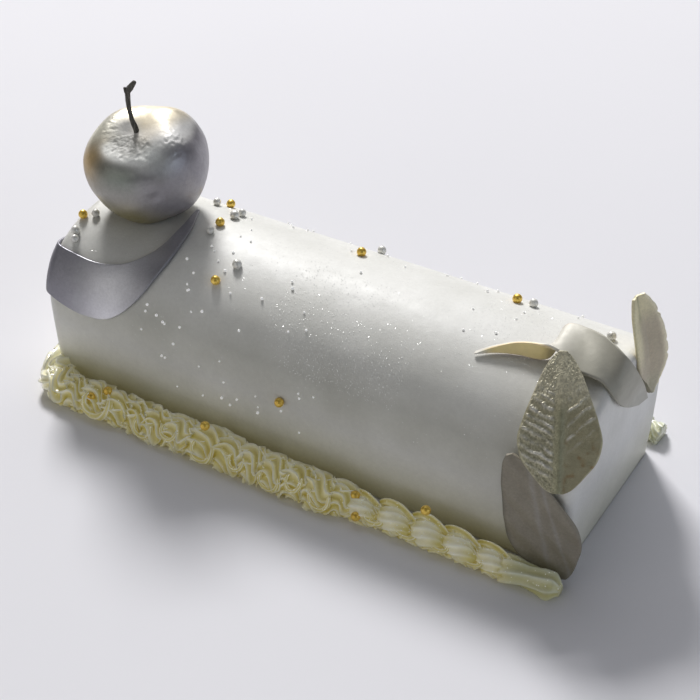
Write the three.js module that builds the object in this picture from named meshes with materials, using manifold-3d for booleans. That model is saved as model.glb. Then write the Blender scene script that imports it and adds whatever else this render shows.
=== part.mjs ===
// Mirror glaze cake: a log-shaped cake under a satin glaze, with a border of piped cream
// round three of its sides, a silvered apple, a silvered band, a pale curl and three
// moulded leaves.  Millimetres, +Z up.  The origin is the centre of the log's flat base,
// +X runs along the log to the end that carries the leaves, and -Y is the front.
import * as THREE from "three";
import { mergeVertices } from "three/addons/utils/BufferGeometryUtils.js";
import Module from "manifold-3d";

// ---------------------------------------------------------------- driving dimensions
const GAP = 0.3;                 // clear space between two pieces that rest on each other

const LOG_LENGTH = 253;
const LOG_HALF = 44.1;           // half width where the arch springs
const LOG_TUCK = 1;              // how far sides and ends draw in at the base
const LOG_SPRING = 38;           // height where the side becomes the arch
const LOG_HEIGHT = 72.1;
const ARCH_POWER = 2.25;         // 2 would be an ellipse, more is squarer
const RIM_RADIUS = 4;            // soft edge round both end faces

const BORDER_PITCH = 14.5;       // from one piped shell to the next
const BORDER_HALF_WIDTH = 11.5;
const BORDER_HEIGHT = 12;
const BORDER_ROUTE_HALF = 55;    // from the middle of the log to the middle of the border
const BORDER_ROUTE_END = -126;   // the same along X, round the plain end
const BORDER_ROUTE_BEND = 18;    // radius of the border's two turns
const BORDER_END_X = 130;        // both free ends run a little past the leaf end of the log
const BORDER_LOBES = 6;          // teeth of the star nozzle
const BORDER_VALLEY = 0.78;      // depth between two teeth, as a share of the reach
const SHELL_ROWS = 4;            // rings along one shell
const SHELL_OVERLAP = 1.55;      // a shell's length, in pitches
const SHELL_SINK = 0.22;         // height of a shell's axis, as a share of the border's
const END_TURN_SQUEEZE = 0.3;    // how much narrower the border is round the plain end
const TAIL_LENGTH = 20;          // plain grooved rope that ends the front run
const TAIL_HALF_WIDTH = 5.8;
const TAIL_HEIGHT = 7.6;
const BACK_END_SHIFT = 4;        // how far the rear run's free end draws in to the log
const BACK_END_LENGTH = 30;      // over this length

const APPLE_RADIUS = 27;
const APPLE_CENTRE = [-99, 0.5, 94.8];
const APPLE_LEAN = [13, -7];     // degrees about X and about Y

const STRIP_THICKNESS = 1.5;     // the set strips of band and curl
const LEAF_THICKNESS = 1.8;

// ---------------------------------------------------------------- shared helpers
const wasm = await Module();
wasm.setup();

const point = (x, y, z) => new THREE.Vector3(x, y, z);
const points = (rows) => rows.map((row) => point(...row));
const radians = THREE.MathUtils.degToRad;

// A closed body from equal rings of points; the first and last ring are capped by a fan.
function loft(rings) {
  const count = rings[0].length;
  const vertices = rings.flat();
  const faces = [];
  for (let ring = 0; ring + 1 < rings.length; ring += 1) {
    for (let i = 0; i < count; i += 1) {
      const a = ring * count + i;
      const b = ring * count + ((i + 1) % count);
      faces.push([a, b, a + count], [b, b + count, a + count]);
    }
  }
  const last = (rings.length - 1) * count;
  const centres = [rings[0], rings.at(-1)].map((ring) => {
    const centre = point(0, 0, 0);
    ring.forEach((corner) => centre.addScaledVector(corner, 1 / count));
    return vertices.push(centre) - 1;
  });
  for (let i = 0; i < count; i += 1) {
    const next = (i + 1) % count;
    faces.push([centres[0], next, i], [centres[1], last + i, last + next]);
  }
  return facedOutwards(vertices, faces);
}

// A closed slab between two equal grids of points, rows by columns.
function slab(front, back) {
  const rows = front.length;
  const columns = front[0].length;
  const vertices = [...front.flat(), ...back.flat()];
  const half = rows * columns;
  const faces = [];
  for (let r = 0; r + 1 < rows; r += 1) {
    for (let c = 0; c + 1 < columns; c += 1) {
      const a = r * columns + c;
      const quad = [a, a + 1, a + columns + 1, a + columns];
      faces.push([quad[0], quad[1], quad[2]], [quad[0], quad[2], quad[3]]);
      faces.push([quad[2] + half, quad[1] + half, quad[0] + half]);
      faces.push([quad[3] + half, quad[2] + half, quad[0] + half]);
    }
  }
  const border = [];
  for (let c = 0; c < columns; c += 1) border.push(c);
  for (let r = 1; r < rows; r += 1) border.push(r * columns + columns - 1);
  for (let c = columns - 2; c >= 0; c -= 1) border.push((rows - 1) * columns + c);
  for (let r = rows - 2; r > 0; r -= 1) border.push(r * columns);
  border.forEach((a, i) => {
    const b = border[(i + 1) % border.length];
    faces.push([b, a, a + half], [b, a + half, b + half]);
  });
  return facedOutwards(vertices, faces);
}

// Indexed geometry, with the faces turned over if they enclose a negative volume.
function facedOutwards(vertices, faces) {
  let volume = 0;
  const normal = point(0, 0, 0);
  faces.forEach(([a, b, c]) => {
    volume += vertices[a].dot(normal.crossVectors(vertices[b], vertices[c]));
  });
  const order = volume > 0 ? [0, 1, 2] : [0, 2, 1];
  const geometry = new THREE.BufferGeometry();
  const flat = vertices.flatMap((vertex) => vertex.toArray());
  geometry.setAttribute("position", new THREE.Float32BufferAttribute(flat, 3));
  geometry.setIndex(faces.flatMap((face) => order.map((corner) => face[corner])));
  return geometry;
}

function toSolid(geometry) {
  const bare = geometry.clone();
  bare.deleteAttribute("normal");
  bare.deleteAttribute("uv");
  const merged = mergeVertices(bare, 1e-4);
  return new wasm.Manifold(new wasm.Mesh({
    numProp: 3,
    vertProperties: new Float32Array(merged.attributes.position.array),
    triVerts: new Uint32Array(merged.index.array),
  }));
}

function toGeometry(solid) {
  const mesh = solid.getMesh();
  const geometry = new THREE.BufferGeometry();
  geometry.setAttribute("position", new THREE.BufferAttribute(mesh.vertProperties, 3));
  geometry.setIndex(new THREE.BufferAttribute(mesh.triVerts, 1));
  return geometry;
}

// ---------------------------------------------------------------- the log's form
// How far sides and ends draw in at height z: nothing from the spring of the arch up.
function tuckAt(z) {
  const rise = Math.min(Math.max(z / LOG_SPRING, 0), 1);
  return LOG_TUCK * (1 - Math.sin(rise * Math.PI / 2));
}

// Signed distance from a point of the cross-section to its outline, positive outside.
function sectionDistance(y, z) {
  if (z <= LOG_SPRING) return Math.abs(y) - LOG_HALF + tuckAt(z);
  const across = Math.abs(y) / LOG_HALF;
  const up = (z - LOG_SPRING) / (LOG_HEIGHT - LOG_SPRING);
  const level = (across ** ARCH_POWER + up ** ARCH_POWER) ** (1 / ARCH_POWER);
  const slope = Math.hypot(
    across ** (ARCH_POWER - 1) / LOG_HALF,
    up ** (ARCH_POWER - 1) / (LOG_HEIGHT - LOG_SPRING),
  ) * level ** (1 - ARCH_POWER);
  return (level - 1) / slope;
}

// Signed distance to the whole glaze, with the rounded rims at the two ends.
function glazeDistance({ x, y, z }) {
  const a = sectionDistance(y, z) + RIM_RADIUS;
  const b = Math.abs(x) - LOG_LENGTH / 2 + tuckAt(z) + RIM_RADIUS;
  return Math.hypot(Math.max(a, 0), Math.max(b, 0)) + Math.min(Math.max(a, b), 0) - RIM_RADIUS;
}

function glazeNormal(where) {
  const step = 0.05;
  const slope = ["x", "y", "z"].map((axis) => {
    const ahead = where.clone();
    const behind = where.clone();
    ahead[axis] += step;
    behind[axis] -= step;
    return glazeDistance(ahead) - glazeDistance(behind);
  });
  return point(...slope).normalize();
}

// The point nearest to `where` that stands `height` off the glaze.
function onGlaze(where, height) {
  const found = where.clone();
  for (let pass = 0; pass < 5; pass += 1) {
    found.addScaledVector(glazeNormal(found), height - glazeDistance(found));
  }
  return found;
}

// Outline of the cross-section, from the front base corner over the top to the back one.
function sectionOutline(sideSteps, archSteps) {
  const outline = [];
  for (let i = 0; i < sideSteps; i += 1) {
    const z = LOG_SPRING * i / sideSteps;
    outline.push([tuckAt(z) - LOG_HALF, z]);
  }
  for (let i = 0; i <= archSteps; i += 1) {
    const angle = Math.PI * (1 - i / archSteps);
    const power = 2 / ARCH_POWER;
    const y = Math.sign(Math.cos(angle)) * LOG_HALF * Math.abs(Math.cos(angle)) ** power;
    const z = LOG_SPRING + (LOG_HEIGHT - LOG_SPRING) * Math.abs(Math.sin(angle)) ** power;
    outline.push([y, z]);
  }
  for (let i = sideSteps - 1; i >= 0; i -= 1) {
    const z = LOG_SPRING * i / sideSteps;
    outline.push([LOG_HALF - tuckAt(z), z]);
  }
  return outline;
}

// One ring of the log at x, its outline moved out along its own normals by `grow`.
function logRing(outline, ringX, grow, baseZ) {
  return outline.map(([y, z], i) => {
    const x = ringX - Math.sign(ringX) * tuckAt(z);
    const before = outline[Math.max(i - 1, 0)];
    const after = outline[Math.min(i + 1, outline.length - 1)];
    const run = Math.hypot(after[0] - before[0], after[1] - before[1]);
    const outY = -(after[1] - before[1]) / run;
    const outZ = (after[0] - before[0]) / run;
    const isBase = i === 0 || i === outline.length - 1;
    if (isBase) return point(x, y + Math.sign(y) * grow, baseZ);
    return point(x, y + outY * grow, z + outZ * grow);
  });
}

function logGeometry(grow, baseZ) {
  const rimSteps = 4;
  const outline = sectionOutline(3, 22);
  const stations = [];
  for (let i = 0; i <= rimSteps; i += 1) {
    const angle = i / rimSteps * Math.PI / 2;
    const back = RIM_RADIUS + grow - (RIM_RADIUS + grow) * Math.cos(angle);
    const inset = (RIM_RADIUS + grow) * (1 - Math.sin(angle));
    stations.push([LOG_LENGTH / 2 + grow - back, inset]);
  }
  const leftRings = stations.map(([x, inset]) => logRing(outline, -x, grow - inset, baseZ));
  const rightRings = stations.map(([x, inset]) => logRing(outline, x, grow - inset, baseZ));
  return loft([...leftRings, ...rightRings.reverse()]);
}

const log = logGeometry(0, 0);
const logWithGap = toSolid(logGeometry(GAP, -5));

// ---------------------------------------------------------------- apple and its stem
// Half profile from the hollow under the apple, over the belly, into the stem cavity.
const appleProfile = new THREE.SplineCurve([
  [0, -21.4], [6, -22.8], [11.5, -22.8], [18.6, -18.2], [24.6, -10], [27, 0],
  [25.4, 9.6], [20.8, 15.4], [15.5, 18.3], [10.6, 19], [6.2, 18.5], [2.8, 17.9], [0, 17.7],
].map(([across, up]) => new THREE.Vector2(across * APPLE_RADIUS / 27, up * APPLE_RADIUS / 27)));

function appleBody() {
  const profile = appleProfile.getSpacedPoints(16);
  profile[0].x = 0;
  profile.at(-1).x = 0;
  const geometry = new THREE.LatheGeometry(profile, 24);
  geometry.rotateX(Math.PI / 2);
  geometry.rotateX(radians(APPLE_LEAN[0]));
  geometry.rotateY(radians(APPLE_LEAN[1]));
  geometry.translate(...APPLE_CENTRE);
  return toSolid(geometry);
}

// A woody stalk: thin in the middle, thicker where it broke off the twig.
const stemRoute = new THREE.CatmullRomCurve3(points([
  [-99, -4.2, 109.4], [-99.6, -4.4, 112.4], [-101.1, -4.5, 116.9], [-102.2, -4.5, 122.7],
  [-102, -4.5, 129.3], [-100.4, -4.5, 131.6], [-97.9, -4.5, 135.2],
]));
const STEM_RADII = [1.4, 1.2, 1.05, 1.1, 1.25, 1.6, 1.5];

function stemSolid() {
  const sides = 8;
  const steps = STEM_RADII.length - 1;
  const frames = stemRoute.computeFrenetFrames(steps);
  const rings = STEM_RADII.map((radius, i) => {
    const middle = stemRoute.getPointAt(i / steps);
    const ring = [];
    for (let side = 0; side < sides; side += 1) {
      const angle = side / sides * Math.PI * 2;
      ring.push(middle.clone()
        .addScaledVector(frames.normals[i], Math.cos(angle) * radius)
        .addScaledVector(frames.binormals[i], Math.sin(angle) * radius));
    }
    return ring;
  });
  return toSolid(loft(rings)).subtract(appleBody().translate([0, 0, GAP]));
}

// ---------------------------------------------------------------- strips
// The rows of points of a set strip that spans two edge lines, and a margin outside them
// as a share of its width.
function stripSheet(edgeA, edgeB, steps, columns, margin) {
  const rows = [];
  for (let step = 0; step <= steps; step += 1) {
    const a = edgeA.getPoint(step / steps);
    const b = edgeB.getPoint(step / steps);
    const row = [];
    for (let column = 0; column <= columns; column += 1) {
      row.push(a.clone().lerp(b, column / columns * (1 + 2 * margin) - margin));
    }
    rows.push(row);
  }
  return rows;
}

// The silvered band: a crescent that hugs the shoulder below the apple and turns round
// the rim on to the plain end face.
const bandUpperEdge = new THREE.CatmullRomCurve3(points([
  [-80, 8, 72], [-77, -8, 71.6], [-78.5, -23, 69], [-88, -32, 64.5], [-101, -34.5, 61.5],
  [-114, -34, 61.5], [-125, -32, 62.5], [-127, -22, 62], [-127, -4, 60],
]));
const bandLowerEdge = new THREE.CatmullRomCurve3(points([
  [-79, 8.6, 72], [-72, -8, 71.6], [-70, -26, 67], [-77, -41, 54], [-91, -44.6, 42],
  [-106, -45, 39.6], [-120, -45, 42.5], [-127, -34, 46], [-127, -3.6, 58.6],
]));

function bandSolid() {
  const sheet = stripSheet(bandUpperEdge, bandLowerEdge, 26, 3, 0);
  const atHeight = (height) => sheet.map((row) => row.map((where) => onGlaze(where, height)));
  return toSolid(slab(atHeight(GAP + STRIP_THICKNESS), atHeight(-1))).subtract(logWithGap);
}

// ---------------------------------------------------------------- pale curl
// A ribbon that starts as a thin tail on edge, twists flat, and hangs over the rim.
const curlNearEdge = new THREE.CatmullRomCurve3(points([
  [72.3, -20.8, 70.6], [78.2, -17.6, 73.6], [86.5, -14, 76.6], [95.9, -13.2, 78.6],
  [104, -14.8, 78.8], [113.3, -18, 75.4], [122.4, -16.6, 73], [127.8, -16, 67],
  [127.9, -9, 59.4], [127.8, 1, 51.8], [127.8, 13, 45],
]));
const curlFarEdge = new THREE.CatmullRomCurve3(points([
  [72, -21, 70.2], [79, -17, 71], [87.3, -14.6, 71.6], [98.5, -11.6, 72.3],
  [99.5, 3.5, 78.8], [108.5, 3.3, 80.1], [116.8, -0.2, 81.3], [127.2, -5.2, 79.3],
  [130.1, 2.5, 67.4], [127.8, 19, 49.5], [127.8, 23, 42],
]));

const curlSheet = (margin) => stripSheet(curlNearEdge, curlFarEdge, 30, 3, margin);

function curlSolid() {
  return thickened(curlSheet(0), STRIP_THICKNESS / 2, STRIP_THICKNESS / 2)
    .subtract(logWithGap);
}

// A sheet of points given a thickness: so much below it, against its normal, and above it.
function thickened(middles, below, above) {
  const rows = middles.length - 1;
  const columns = middles[0].length - 1;
  const moved = (side) => middles.map((row, r) => row.map((middle, c) => {
    const alongU = middles[Math.min(r + 1, rows)][c].clone()
      .sub(middles[Math.max(r - 1, 0)][c]);
    const alongV = row[Math.min(c + 1, columns)].clone().sub(row[Math.max(c - 1, 0)]);
    const normal = alongU.cross(alongV).normalize();
    return middle.clone().addScaledVector(normal, side);
  }));
  return toSolid(slab(moved(-below), moved(above)));
}

// ---------------------------------------------------------------- leaves
// Half width of a leaf along its length, as a share of the widest place.
const outlineThrough = (rows) => new THREE.SplineCurve(
  rows.map(([along, wide]) => new THREE.Vector2(along, wide)),
);
const pointedOutline = outlineThrough([
  [0, 0.12], [0.03, 0.32], [0.13, 0.64], [0.25, 0.92], [0.37, 1], [0.5, 0.9], [0.65, 0.72],
  [0.82, 0.5], [0.94, 0.28], [1, 0.08],
]);
const bluntOutline = outlineThrough([
  [0, 0.3], [0.05, 0.4], [0.2, 0.72], [0.38, 1], [0.55, 1], [0.7, 0.93], [0.84, 0.8],
  [0.94, 0.58], [1, 0.36],
]);

// The middle sheet of a moulded leaf: folded along its midrib, bowed along its length
// and stood on its foot.
function leafSheet(leaf) {
  const rows = 10;
  const halfColumns = 3;
  const up = point(...leaf.up).normalize();
  const across = point(...leaf.across);
  across.addScaledVector(up, -across.dot(up)).normalize();
  const out = across.clone().cross(up);
  const middles = [];
  for (let row = 0; row <= rows; row += 1) {
    const { x: along, y: share } = leaf.outline.getPoint(row / rows);
    const line = [];
    for (let column = -halfColumns; column <= halfColumns; column += 1) {
      const side = column / halfColumns * share * leaf.width / 2;
      const lift = leaf.bow * Math.sin(Math.PI * along) - leaf.fold * Math.abs(side);
      line.push(point(...leaf.foot)
        .addScaledVector(up, along * leaf.length)
        .addScaledVector(across, side)
        .addScaledVector(out, lift));
    }
    middles.push(line);
  }
  return middles;
}

function leafSolid(leaf) {
  return thickened(leafSheet(leaf), LEAF_THICKNESS / 2, LEAF_THICKNESS / 2)
    .subtract(logWithGap);
}

const frontLeaf = {
  outline: pointedOutline, length: 53, width: 31, bow: 2, fold: 0.08,
  foot: [123.3, -51.4, 45], up: [-16.7, 34, 36.5], across: [0.92, 0.4, 0.06],
};
const lowerLeaf = {
  outline: pointedOutline, length: 57, width: 30, bow: 1, fold: 0.04,
  foot: [127, -47.4, 0.9], up: [-25, 0, 49.6], across: [0.88, 0.1, 0.45],
};
const endLeaf = {
  outline: bluntOutline, length: 50, width: 16.2, bow: 2.5, fold: -0.35,
  foot: [128.3, 22, 45], up: [-6.9, -8.2, 49.2], across: [0.38, 0.925, 0],
};

// Room for the curl and all that lies in front of it: the end leaf stands behind its edge.
const ROOM_DEPTH = 12;
const curlRoom = thickened(curlSheet(0.04), STRIP_THICKNESS / 2 + GAP, ROOM_DEPTH);

// ---------------------------------------------------------------- piped border
// The border's middle line: up the front, round the plain end and back along the rear.
const route = new THREE.Path();
const bendX = BORDER_ROUTE_END + BORDER_ROUTE_BEND;
const bendY = BORDER_ROUTE_HALF - BORDER_ROUTE_BEND;
route.moveTo(BORDER_END_X, BORDER_ROUTE_HALF - BACK_END_SHIFT);
route.lineTo(BORDER_END_X - BACK_END_LENGTH, BORDER_ROUTE_HALF);
route.lineTo(bendX, BORDER_ROUTE_HALF);
route.absarc(bendX, bendY, BORDER_ROUTE_BEND, Math.PI / 2, Math.PI);
route.lineTo(BORDER_ROUTE_END, -bendY);
route.absarc(bendX, -bendY, BORDER_ROUTE_BEND, Math.PI, Math.PI * 1.5);
route.lineTo(BORDER_END_X, -BORDER_ROUTE_HALF);

// One ring of the star nozzle's section: a tooth and a valley by turns.
function starRing(middle, sideways, halfWidth, halfHeight, axisHeight, turn) {
  const ribs = BORDER_LOBES * 2;
  const ring = [];
  for (let rib = 0; rib < ribs; rib += 1) {
    const angle = rib / ribs * Math.PI * 2 + turn;
    const reach = rib % 2 === 0 ? 1 : BORDER_VALLEY;
    const side = Math.cos(angle) * halfWidth * reach;
    const up = axisHeight + Math.sin(angle) * halfHeight * reach;
    ring.push(point(middle.x + sideways.x * side, middle.y + sideways.y * side, up));
  }
  return ring;
}

// One piped shell: a ribbed bulge that rises fast and tapers towards the next shell.
function shellRings(distance, routeLength, variation) {
  const length = BORDER_PITCH * SHELL_OVERLAP;
  const rings = [];
  for (let row = 0; row <= SHELL_ROWS; row += 1) {
    const along = row / SHELL_ROWS;
    const swell = Math.sin(Math.PI * (0.06 + 0.84 * along) ** 0.62) ** 0.8;
    const at = Math.min(Math.max((distance + length * (along - 0.3)) / routeLength, 0), 1);
    const tangent = route.getTangentAt(at);
    const sideways = new THREE.Vector2(tangent.y, -tangent.x);
    const middle = route.getPointAt(at).addScaledVector(sideways, variation.side * (1 - along));
    const size = swell * variation.size;
    rings.push(starRing(
      middle,
      sideways,
      BORDER_HALF_WIDTH * size * (1 - END_TURN_SQUEEZE * Math.abs(tangent.y)),
      BORDER_HEIGHT * (1 - SHELL_SINK) * size,
      BORDER_HEIGHT * SHELL_SINK + variation.lift * (1 - along),
      variation.turn + along * 0.7,
    ));
  }
  return rings;
}

// The plain rope that ends the front run, ribbed by the same nozzle and cut off square.
function tailRings() {
  const sideways = new THREE.Vector2(0, 1);
  return [0, 0.5, 1].map((along) => {
    const x = BORDER_END_X - TAIL_LENGTH * (1 - along);
    const middle = new THREE.Vector2(x, -BORDER_ROUTE_HALF);
    const halfHeight = TAIL_HEIGHT * 0.6;
    const axisHeight = TAIL_HEIGHT - halfHeight;
    return starRing(middle, sideways, TAIL_HALF_WIDTH, halfHeight, axisHeight, Math.PI / 2);
  });
}

// Uneven in the way of hand piping, and smaller towards the two free ends.
function unevenness(index, shellCount) {
  const fromBackEnd = Math.min((index + 1) / 3, 1);
  const fromTail = Math.min((shellCount - index + 4.5) / 7.5, 1);
  return {
    size: (0.97 + 0.05 * Math.sin(index * 2.3)) * Math.sqrt(fromBackEnd) * fromTail,
    lift: 0.8 * Math.sin(index * 1.7 + 1),
    side: 1.1 * Math.sin(index * 2.9 + 2),
    turn: 0.35 * Math.sin(index * 1.3),
  };
}

// Room behind and round the lower leaf, which stands between the border and the log.
const lowerLeafRoom = thickened(leafSheet(lowerLeaf), LEAF_THICKNESS / 2 + GAP, ROOM_DEPTH);

function borderSolid() {
  const routeLength = route.getLength();
  const shellCount = Math.floor((routeLength - TAIL_LENGTH) / BORDER_PITCH);
  let border = toSolid(loft(tailRings()));
  for (let index = 0; index < shellCount; index += 1) {
    const distance = routeLength - TAIL_LENGTH - (shellCount - index - 0.3) * BORDER_PITCH;
    const rings = shellRings(distance, routeLength, unevenness(index, shellCount));
    border = border.add(toSolid(loft(rings)));
  }
  const floorBlock = new THREE.BoxGeometry(LOG_LENGTH * 2, LOG_LENGTH, BORDER_HEIGHT * 2);
  floorBlock.translate(0, 0, BORDER_HEIGHT);
  return border.intersect(toSolid(floorBlock)).subtract(logWithGap).subtract(lowerLeafRoom);
}

// ---------------------------------------------------------------- the assembled cake
const finish = (color, roughness, metalness) => new THREE.MeshStandardMaterial({
  color, roughness, metalness,
});
const glaze = finish(0xe9e8e4, 0.3, 0);
const cream = finish(0xece2b0, 0.6, 0);
const silver = finish(0xb3aca6, 0.4, 0.8);
const lilacSilver = finish(0xa9a7b2, 0.35, 0.7);
const bark = finish(0x4a4238, 0.9, 0);
const ivory = finish(0xe6dfc6, 0.5, 0);
const olive = finish(0xa8a184, 0.5, 0.3);
const taupe = finish(0x8e8778, 0.6, 0.1);

const cake = new THREE.Group();
cake.name = "mirror_glaze_cake";

function addPiece(name, geometry, material) {
  const mesh = new THREE.Mesh(geometry, material);
  mesh.name = name;
  cake.add(mesh);
}

addPiece("cake_log", log, glaze);
addPiece("piped_border", toGeometry(borderSolid()), cream);
addPiece("apple", toGeometry(appleBody().subtract(logWithGap)), silver);
addPiece("apple_stem", toGeometry(stemSolid()), bark);
addPiece("silver_band", toGeometry(bandSolid()), lilacSilver);
addPiece("pale_curl", toGeometry(curlSolid()), ivory);
addPiece("front_leaf", toGeometry(leafSolid(frontLeaf)), olive);
addPiece("lower_leaf", toGeometry(leafSolid(lowerLeaf)), taupe);
addPiece("end_leaf", toGeometry(leafSolid(endLeaf).subtract(curlRoom)), ivory);

export default cake;
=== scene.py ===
"""Looks of the mirror glaze cake: a log under pearly glaze, with ruffled cream piped round
it, a silvered apple, a silvered band, a pale curl, three moulded leaves, and beads,
sugar pearls and glitter on top.

Lengths are millimetres in the cake's frame until a mesh is made.  The origin is the
centre of the log's flat base, +X runs along the log to the end with the leaves, and -Y
is the front.
"""
import math

import bpy
import numpy as np
from mathutils import Matrix, Vector


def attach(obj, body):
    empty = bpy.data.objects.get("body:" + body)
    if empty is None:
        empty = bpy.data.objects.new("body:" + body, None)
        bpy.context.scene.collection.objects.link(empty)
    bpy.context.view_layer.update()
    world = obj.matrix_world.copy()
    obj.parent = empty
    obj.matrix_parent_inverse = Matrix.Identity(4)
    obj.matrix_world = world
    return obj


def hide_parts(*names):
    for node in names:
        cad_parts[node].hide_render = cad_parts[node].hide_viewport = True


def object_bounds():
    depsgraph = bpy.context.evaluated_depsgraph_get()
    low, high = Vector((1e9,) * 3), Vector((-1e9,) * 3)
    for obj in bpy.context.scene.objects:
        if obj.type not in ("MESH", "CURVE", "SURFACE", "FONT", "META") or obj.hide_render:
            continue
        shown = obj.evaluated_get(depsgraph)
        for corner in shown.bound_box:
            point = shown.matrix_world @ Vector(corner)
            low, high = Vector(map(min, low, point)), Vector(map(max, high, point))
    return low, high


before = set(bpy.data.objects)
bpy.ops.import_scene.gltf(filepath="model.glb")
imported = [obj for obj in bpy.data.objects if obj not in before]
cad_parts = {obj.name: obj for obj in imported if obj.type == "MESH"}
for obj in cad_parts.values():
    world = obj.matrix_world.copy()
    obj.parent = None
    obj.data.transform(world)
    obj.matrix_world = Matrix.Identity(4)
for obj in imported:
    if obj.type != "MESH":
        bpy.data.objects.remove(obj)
cad_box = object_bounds()

MM = 0.001
rng = np.random.default_rng(11)

# ---------------------------------------------------------------- driving dimensions
LOG_LENGTH = 253
LOG_HALF = 44.1                  # half its width, where the sides turn into the arch
LOG_TUCK = 1                     # how far its base is drawn in
LOG_SPRING = 38                  # height at which the arch starts
LOG_HEIGHT = 72.1
ARCH_POWER = 2.25                # 2 is an ellipse and more is squarer
RIM_RADIUS = 4                   # between the arch and the end faces

APPLE_CENTRE = (-99, 0.5, 94.8)
APPLE_LEAN = (13, -7)            # degrees about X and about Y

STRIP_THICKNESS = 1.5
LEAF_THICKNESS = 1.8
GAP = 0.3                        # between the log and the band on it

ROUTE_HALF = 55                  # from the middle of the log to the middle of the border
ROUTE_END = -125.2               # the x of the border's middle at the plain end
ROUTE_BEND = 18                  # radius of its two corners
ROUTE_STEPS = 4000
BORDER_END_X = 130               # where both runs stop
RUFFLE_RADIUS = 9.2              # of the star-shaped rope of cream
CORE_RADIUS = 7.3                # of the plain cream inside that rope
ON_FLOOR = 0.02                  # lowest height of the cream
RUFFLE_PITCH = 11.5              # along the border, from one lobe to the next
RUFFLE_FINS = 12
RING_STEP = 0.86                 # along the rope, from one ring of points to the next
RUFFLE_SWAY = 0.38               # how far a lobe's fins turn round the rope, in radians
CREAM_RIDGE = (1.0, 0.99, 0.87)
# painted shade: the colour of the cream deep in its creases
CREAM_CREASE_SHADE = (0.76, 0.68, 0.26)
TAIL_SHADE = (0.24, 0.2, 0.17)   # painted shade: how much darker the tail is, in the log's shadow
TAIL_LENGTH = 20
TAIL_RADIUS = 6
LOOPS = [                        # place along X, width, foot, reach and radius
    (-88, 13, 0, 40, 1.9), (-62, 9, -6, 30, 1.2), (-49, 8, 20, 24, 1.1), (-31, 10, -4, 34, 1.3),
    (-14, 7, 12, 26, 1.0), (3, 9, -8, 30, 1.2), (14, 7, 18, 28, 1.0), (27, 9, -2, 30, 1.2),
    (51, 8, 6, 20, 1.2), (66, 9, 2, 24, 1.2), (81, 7, 8, 20, 1.1), (95, 8, 0, 22, 1.1),
]
CORNER_ROSETTE = (-117.5, -55.0, 9.5)     # x, y and size
PUFFS = [(44, 0.9), (59, 1.0), (74, 1.0), (88, 0.95), (102, 0.85)]     # place along X, size
FRILLS = [                       # ends along X, pitch, sway, aside, foot, top, seed
    ((-108, 42), 12, 2.6, 2.2, 5.5, 10.9, 51),
    ((-104, 30), 8.5, 2.0, -3.2, 3.5, 9.2, 52),
]


# ---------------------------------------------------------------- numbers and curves
def unit(vectors):
    """Rows scaled to length one."""
    return vectors / np.maximum(np.linalg.norm(vectors, axis=-1, keepdims=True), 1e-12)


def ease(values, low, high):
    """A smooth step: 0 below low, 1 above high."""
    share = np.clip((values - low) / (high - low), 0, 1)
    return share * share * (3 - 2 * share)


def near(values, middle, width):
    """A bell round a middle value."""
    return np.exp(-(((values - middle) / width) ** 2))


def lumps(points, size, seed, octaves=1):
    """Smooth lattice noise from -1 to 1 with lumps about `size` across."""
    total = np.zeros(points.shape[:-1])
    share = 1.0
    weight = 0.0
    for octave in range(octaves):
        place = points / size + 31.7 * (seed + 1)
        cell = np.floor(place).astype(np.int64)
        part = place - cell
        part = part * part * (3 - 2 * part)
        value = np.zeros(points.shape[:-1])
        for corner in range(8):
            step = np.array([corner & 1, corner >> 1 & 1, corner >> 2 & 1])
            key = (cell + step) @ np.array([73856093, 19349663, 83492791]) + 7919 * seed
            key = (key ^ (key >> 13)) * 1274126177 & 0x7FFFFFFF
            key = (key ^ (key >> 11)) * 668265263 & 0x7FFFFFFF
            corner_value = (key ^ (key >> 15)) / 0x7FFFFFFF * 2 - 1
            value += corner_value * np.prod(np.where(step, part, 1 - part), axis=-1)
        total += value * share
        weight += share
        share *= 0.5
        size = size / 2
        seed += 5
    return total / weight


def through(rows, places):
    """A centripetal Catmull-Rom curve through the rows, read at places from 0 to 1."""
    knots = np.asarray(rows, float)
    knots = np.vstack([2 * knots[0] - knots[1], knots, 2 * knots[-1] - knots[-2]])
    spans = len(knots) - 3
    place = np.clip(np.asarray(places, float), 0, 1) * spans
    index = np.minimum(place.astype(int), spans - 1)
    t = (place - index)[:, None]
    p0, p1, p2, p3 = (knots[index + i] for i in range(4))
    d0, d1, d2 = (
        np.maximum(np.sqrt(np.linalg.norm(b - a, axis=1)), 1e-4)[:, None]
        for a, b in ((p0, p1), (p1, p2), (p2, p3))
    )
    m1 = ((p1 - p0) / d0 - (p2 - p0) / (d0 + d1) + (p2 - p1) / d1) * d1
    m2 = ((p2 - p1) / d1 - (p3 - p1) / (d1 + d2) + (p3 - p2) / d2) * d1
    c2 = -3 * p1 + 3 * p2 - 2 * m1 - m2
    c3 = 2 * p1 - 2 * p2 + m1 + m2
    return p1 + m1 * t + c2 * t**2 + c3 * t**3


def run_along(line):
    """The distance along a line at each of its points."""
    return np.concatenate([[0], np.cumsum(np.linalg.norm(np.diff(line, axis=0), axis=1))])


def evenly(line, count):
    """The same line with its points spaced evenly."""
    run = run_along(line)
    at = np.linspace(0, run[-1], count)
    return np.stack([np.interp(at, run, line[:, i]) for i in range(line.shape[1])], axis=1)


def points_at(*coordinates):
    """Points from their coordinates; one number stands for all of them."""
    return np.stack(np.broadcast_arrays(*coordinates), axis=-1)


def patch(points, place, reach):
    """A round patch, 1 at its place and fading out over its reach."""
    return near(np.linalg.norm(points - np.asarray(place), axis=-1), 0, reach)


def tinted(paint, layers):
    """Paint under layers of (share, colour), each as strong as its share."""
    for share, colour in layers:
        paint = paint + (np.array(colour) - paint) * share[..., None]
    return paint


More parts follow.
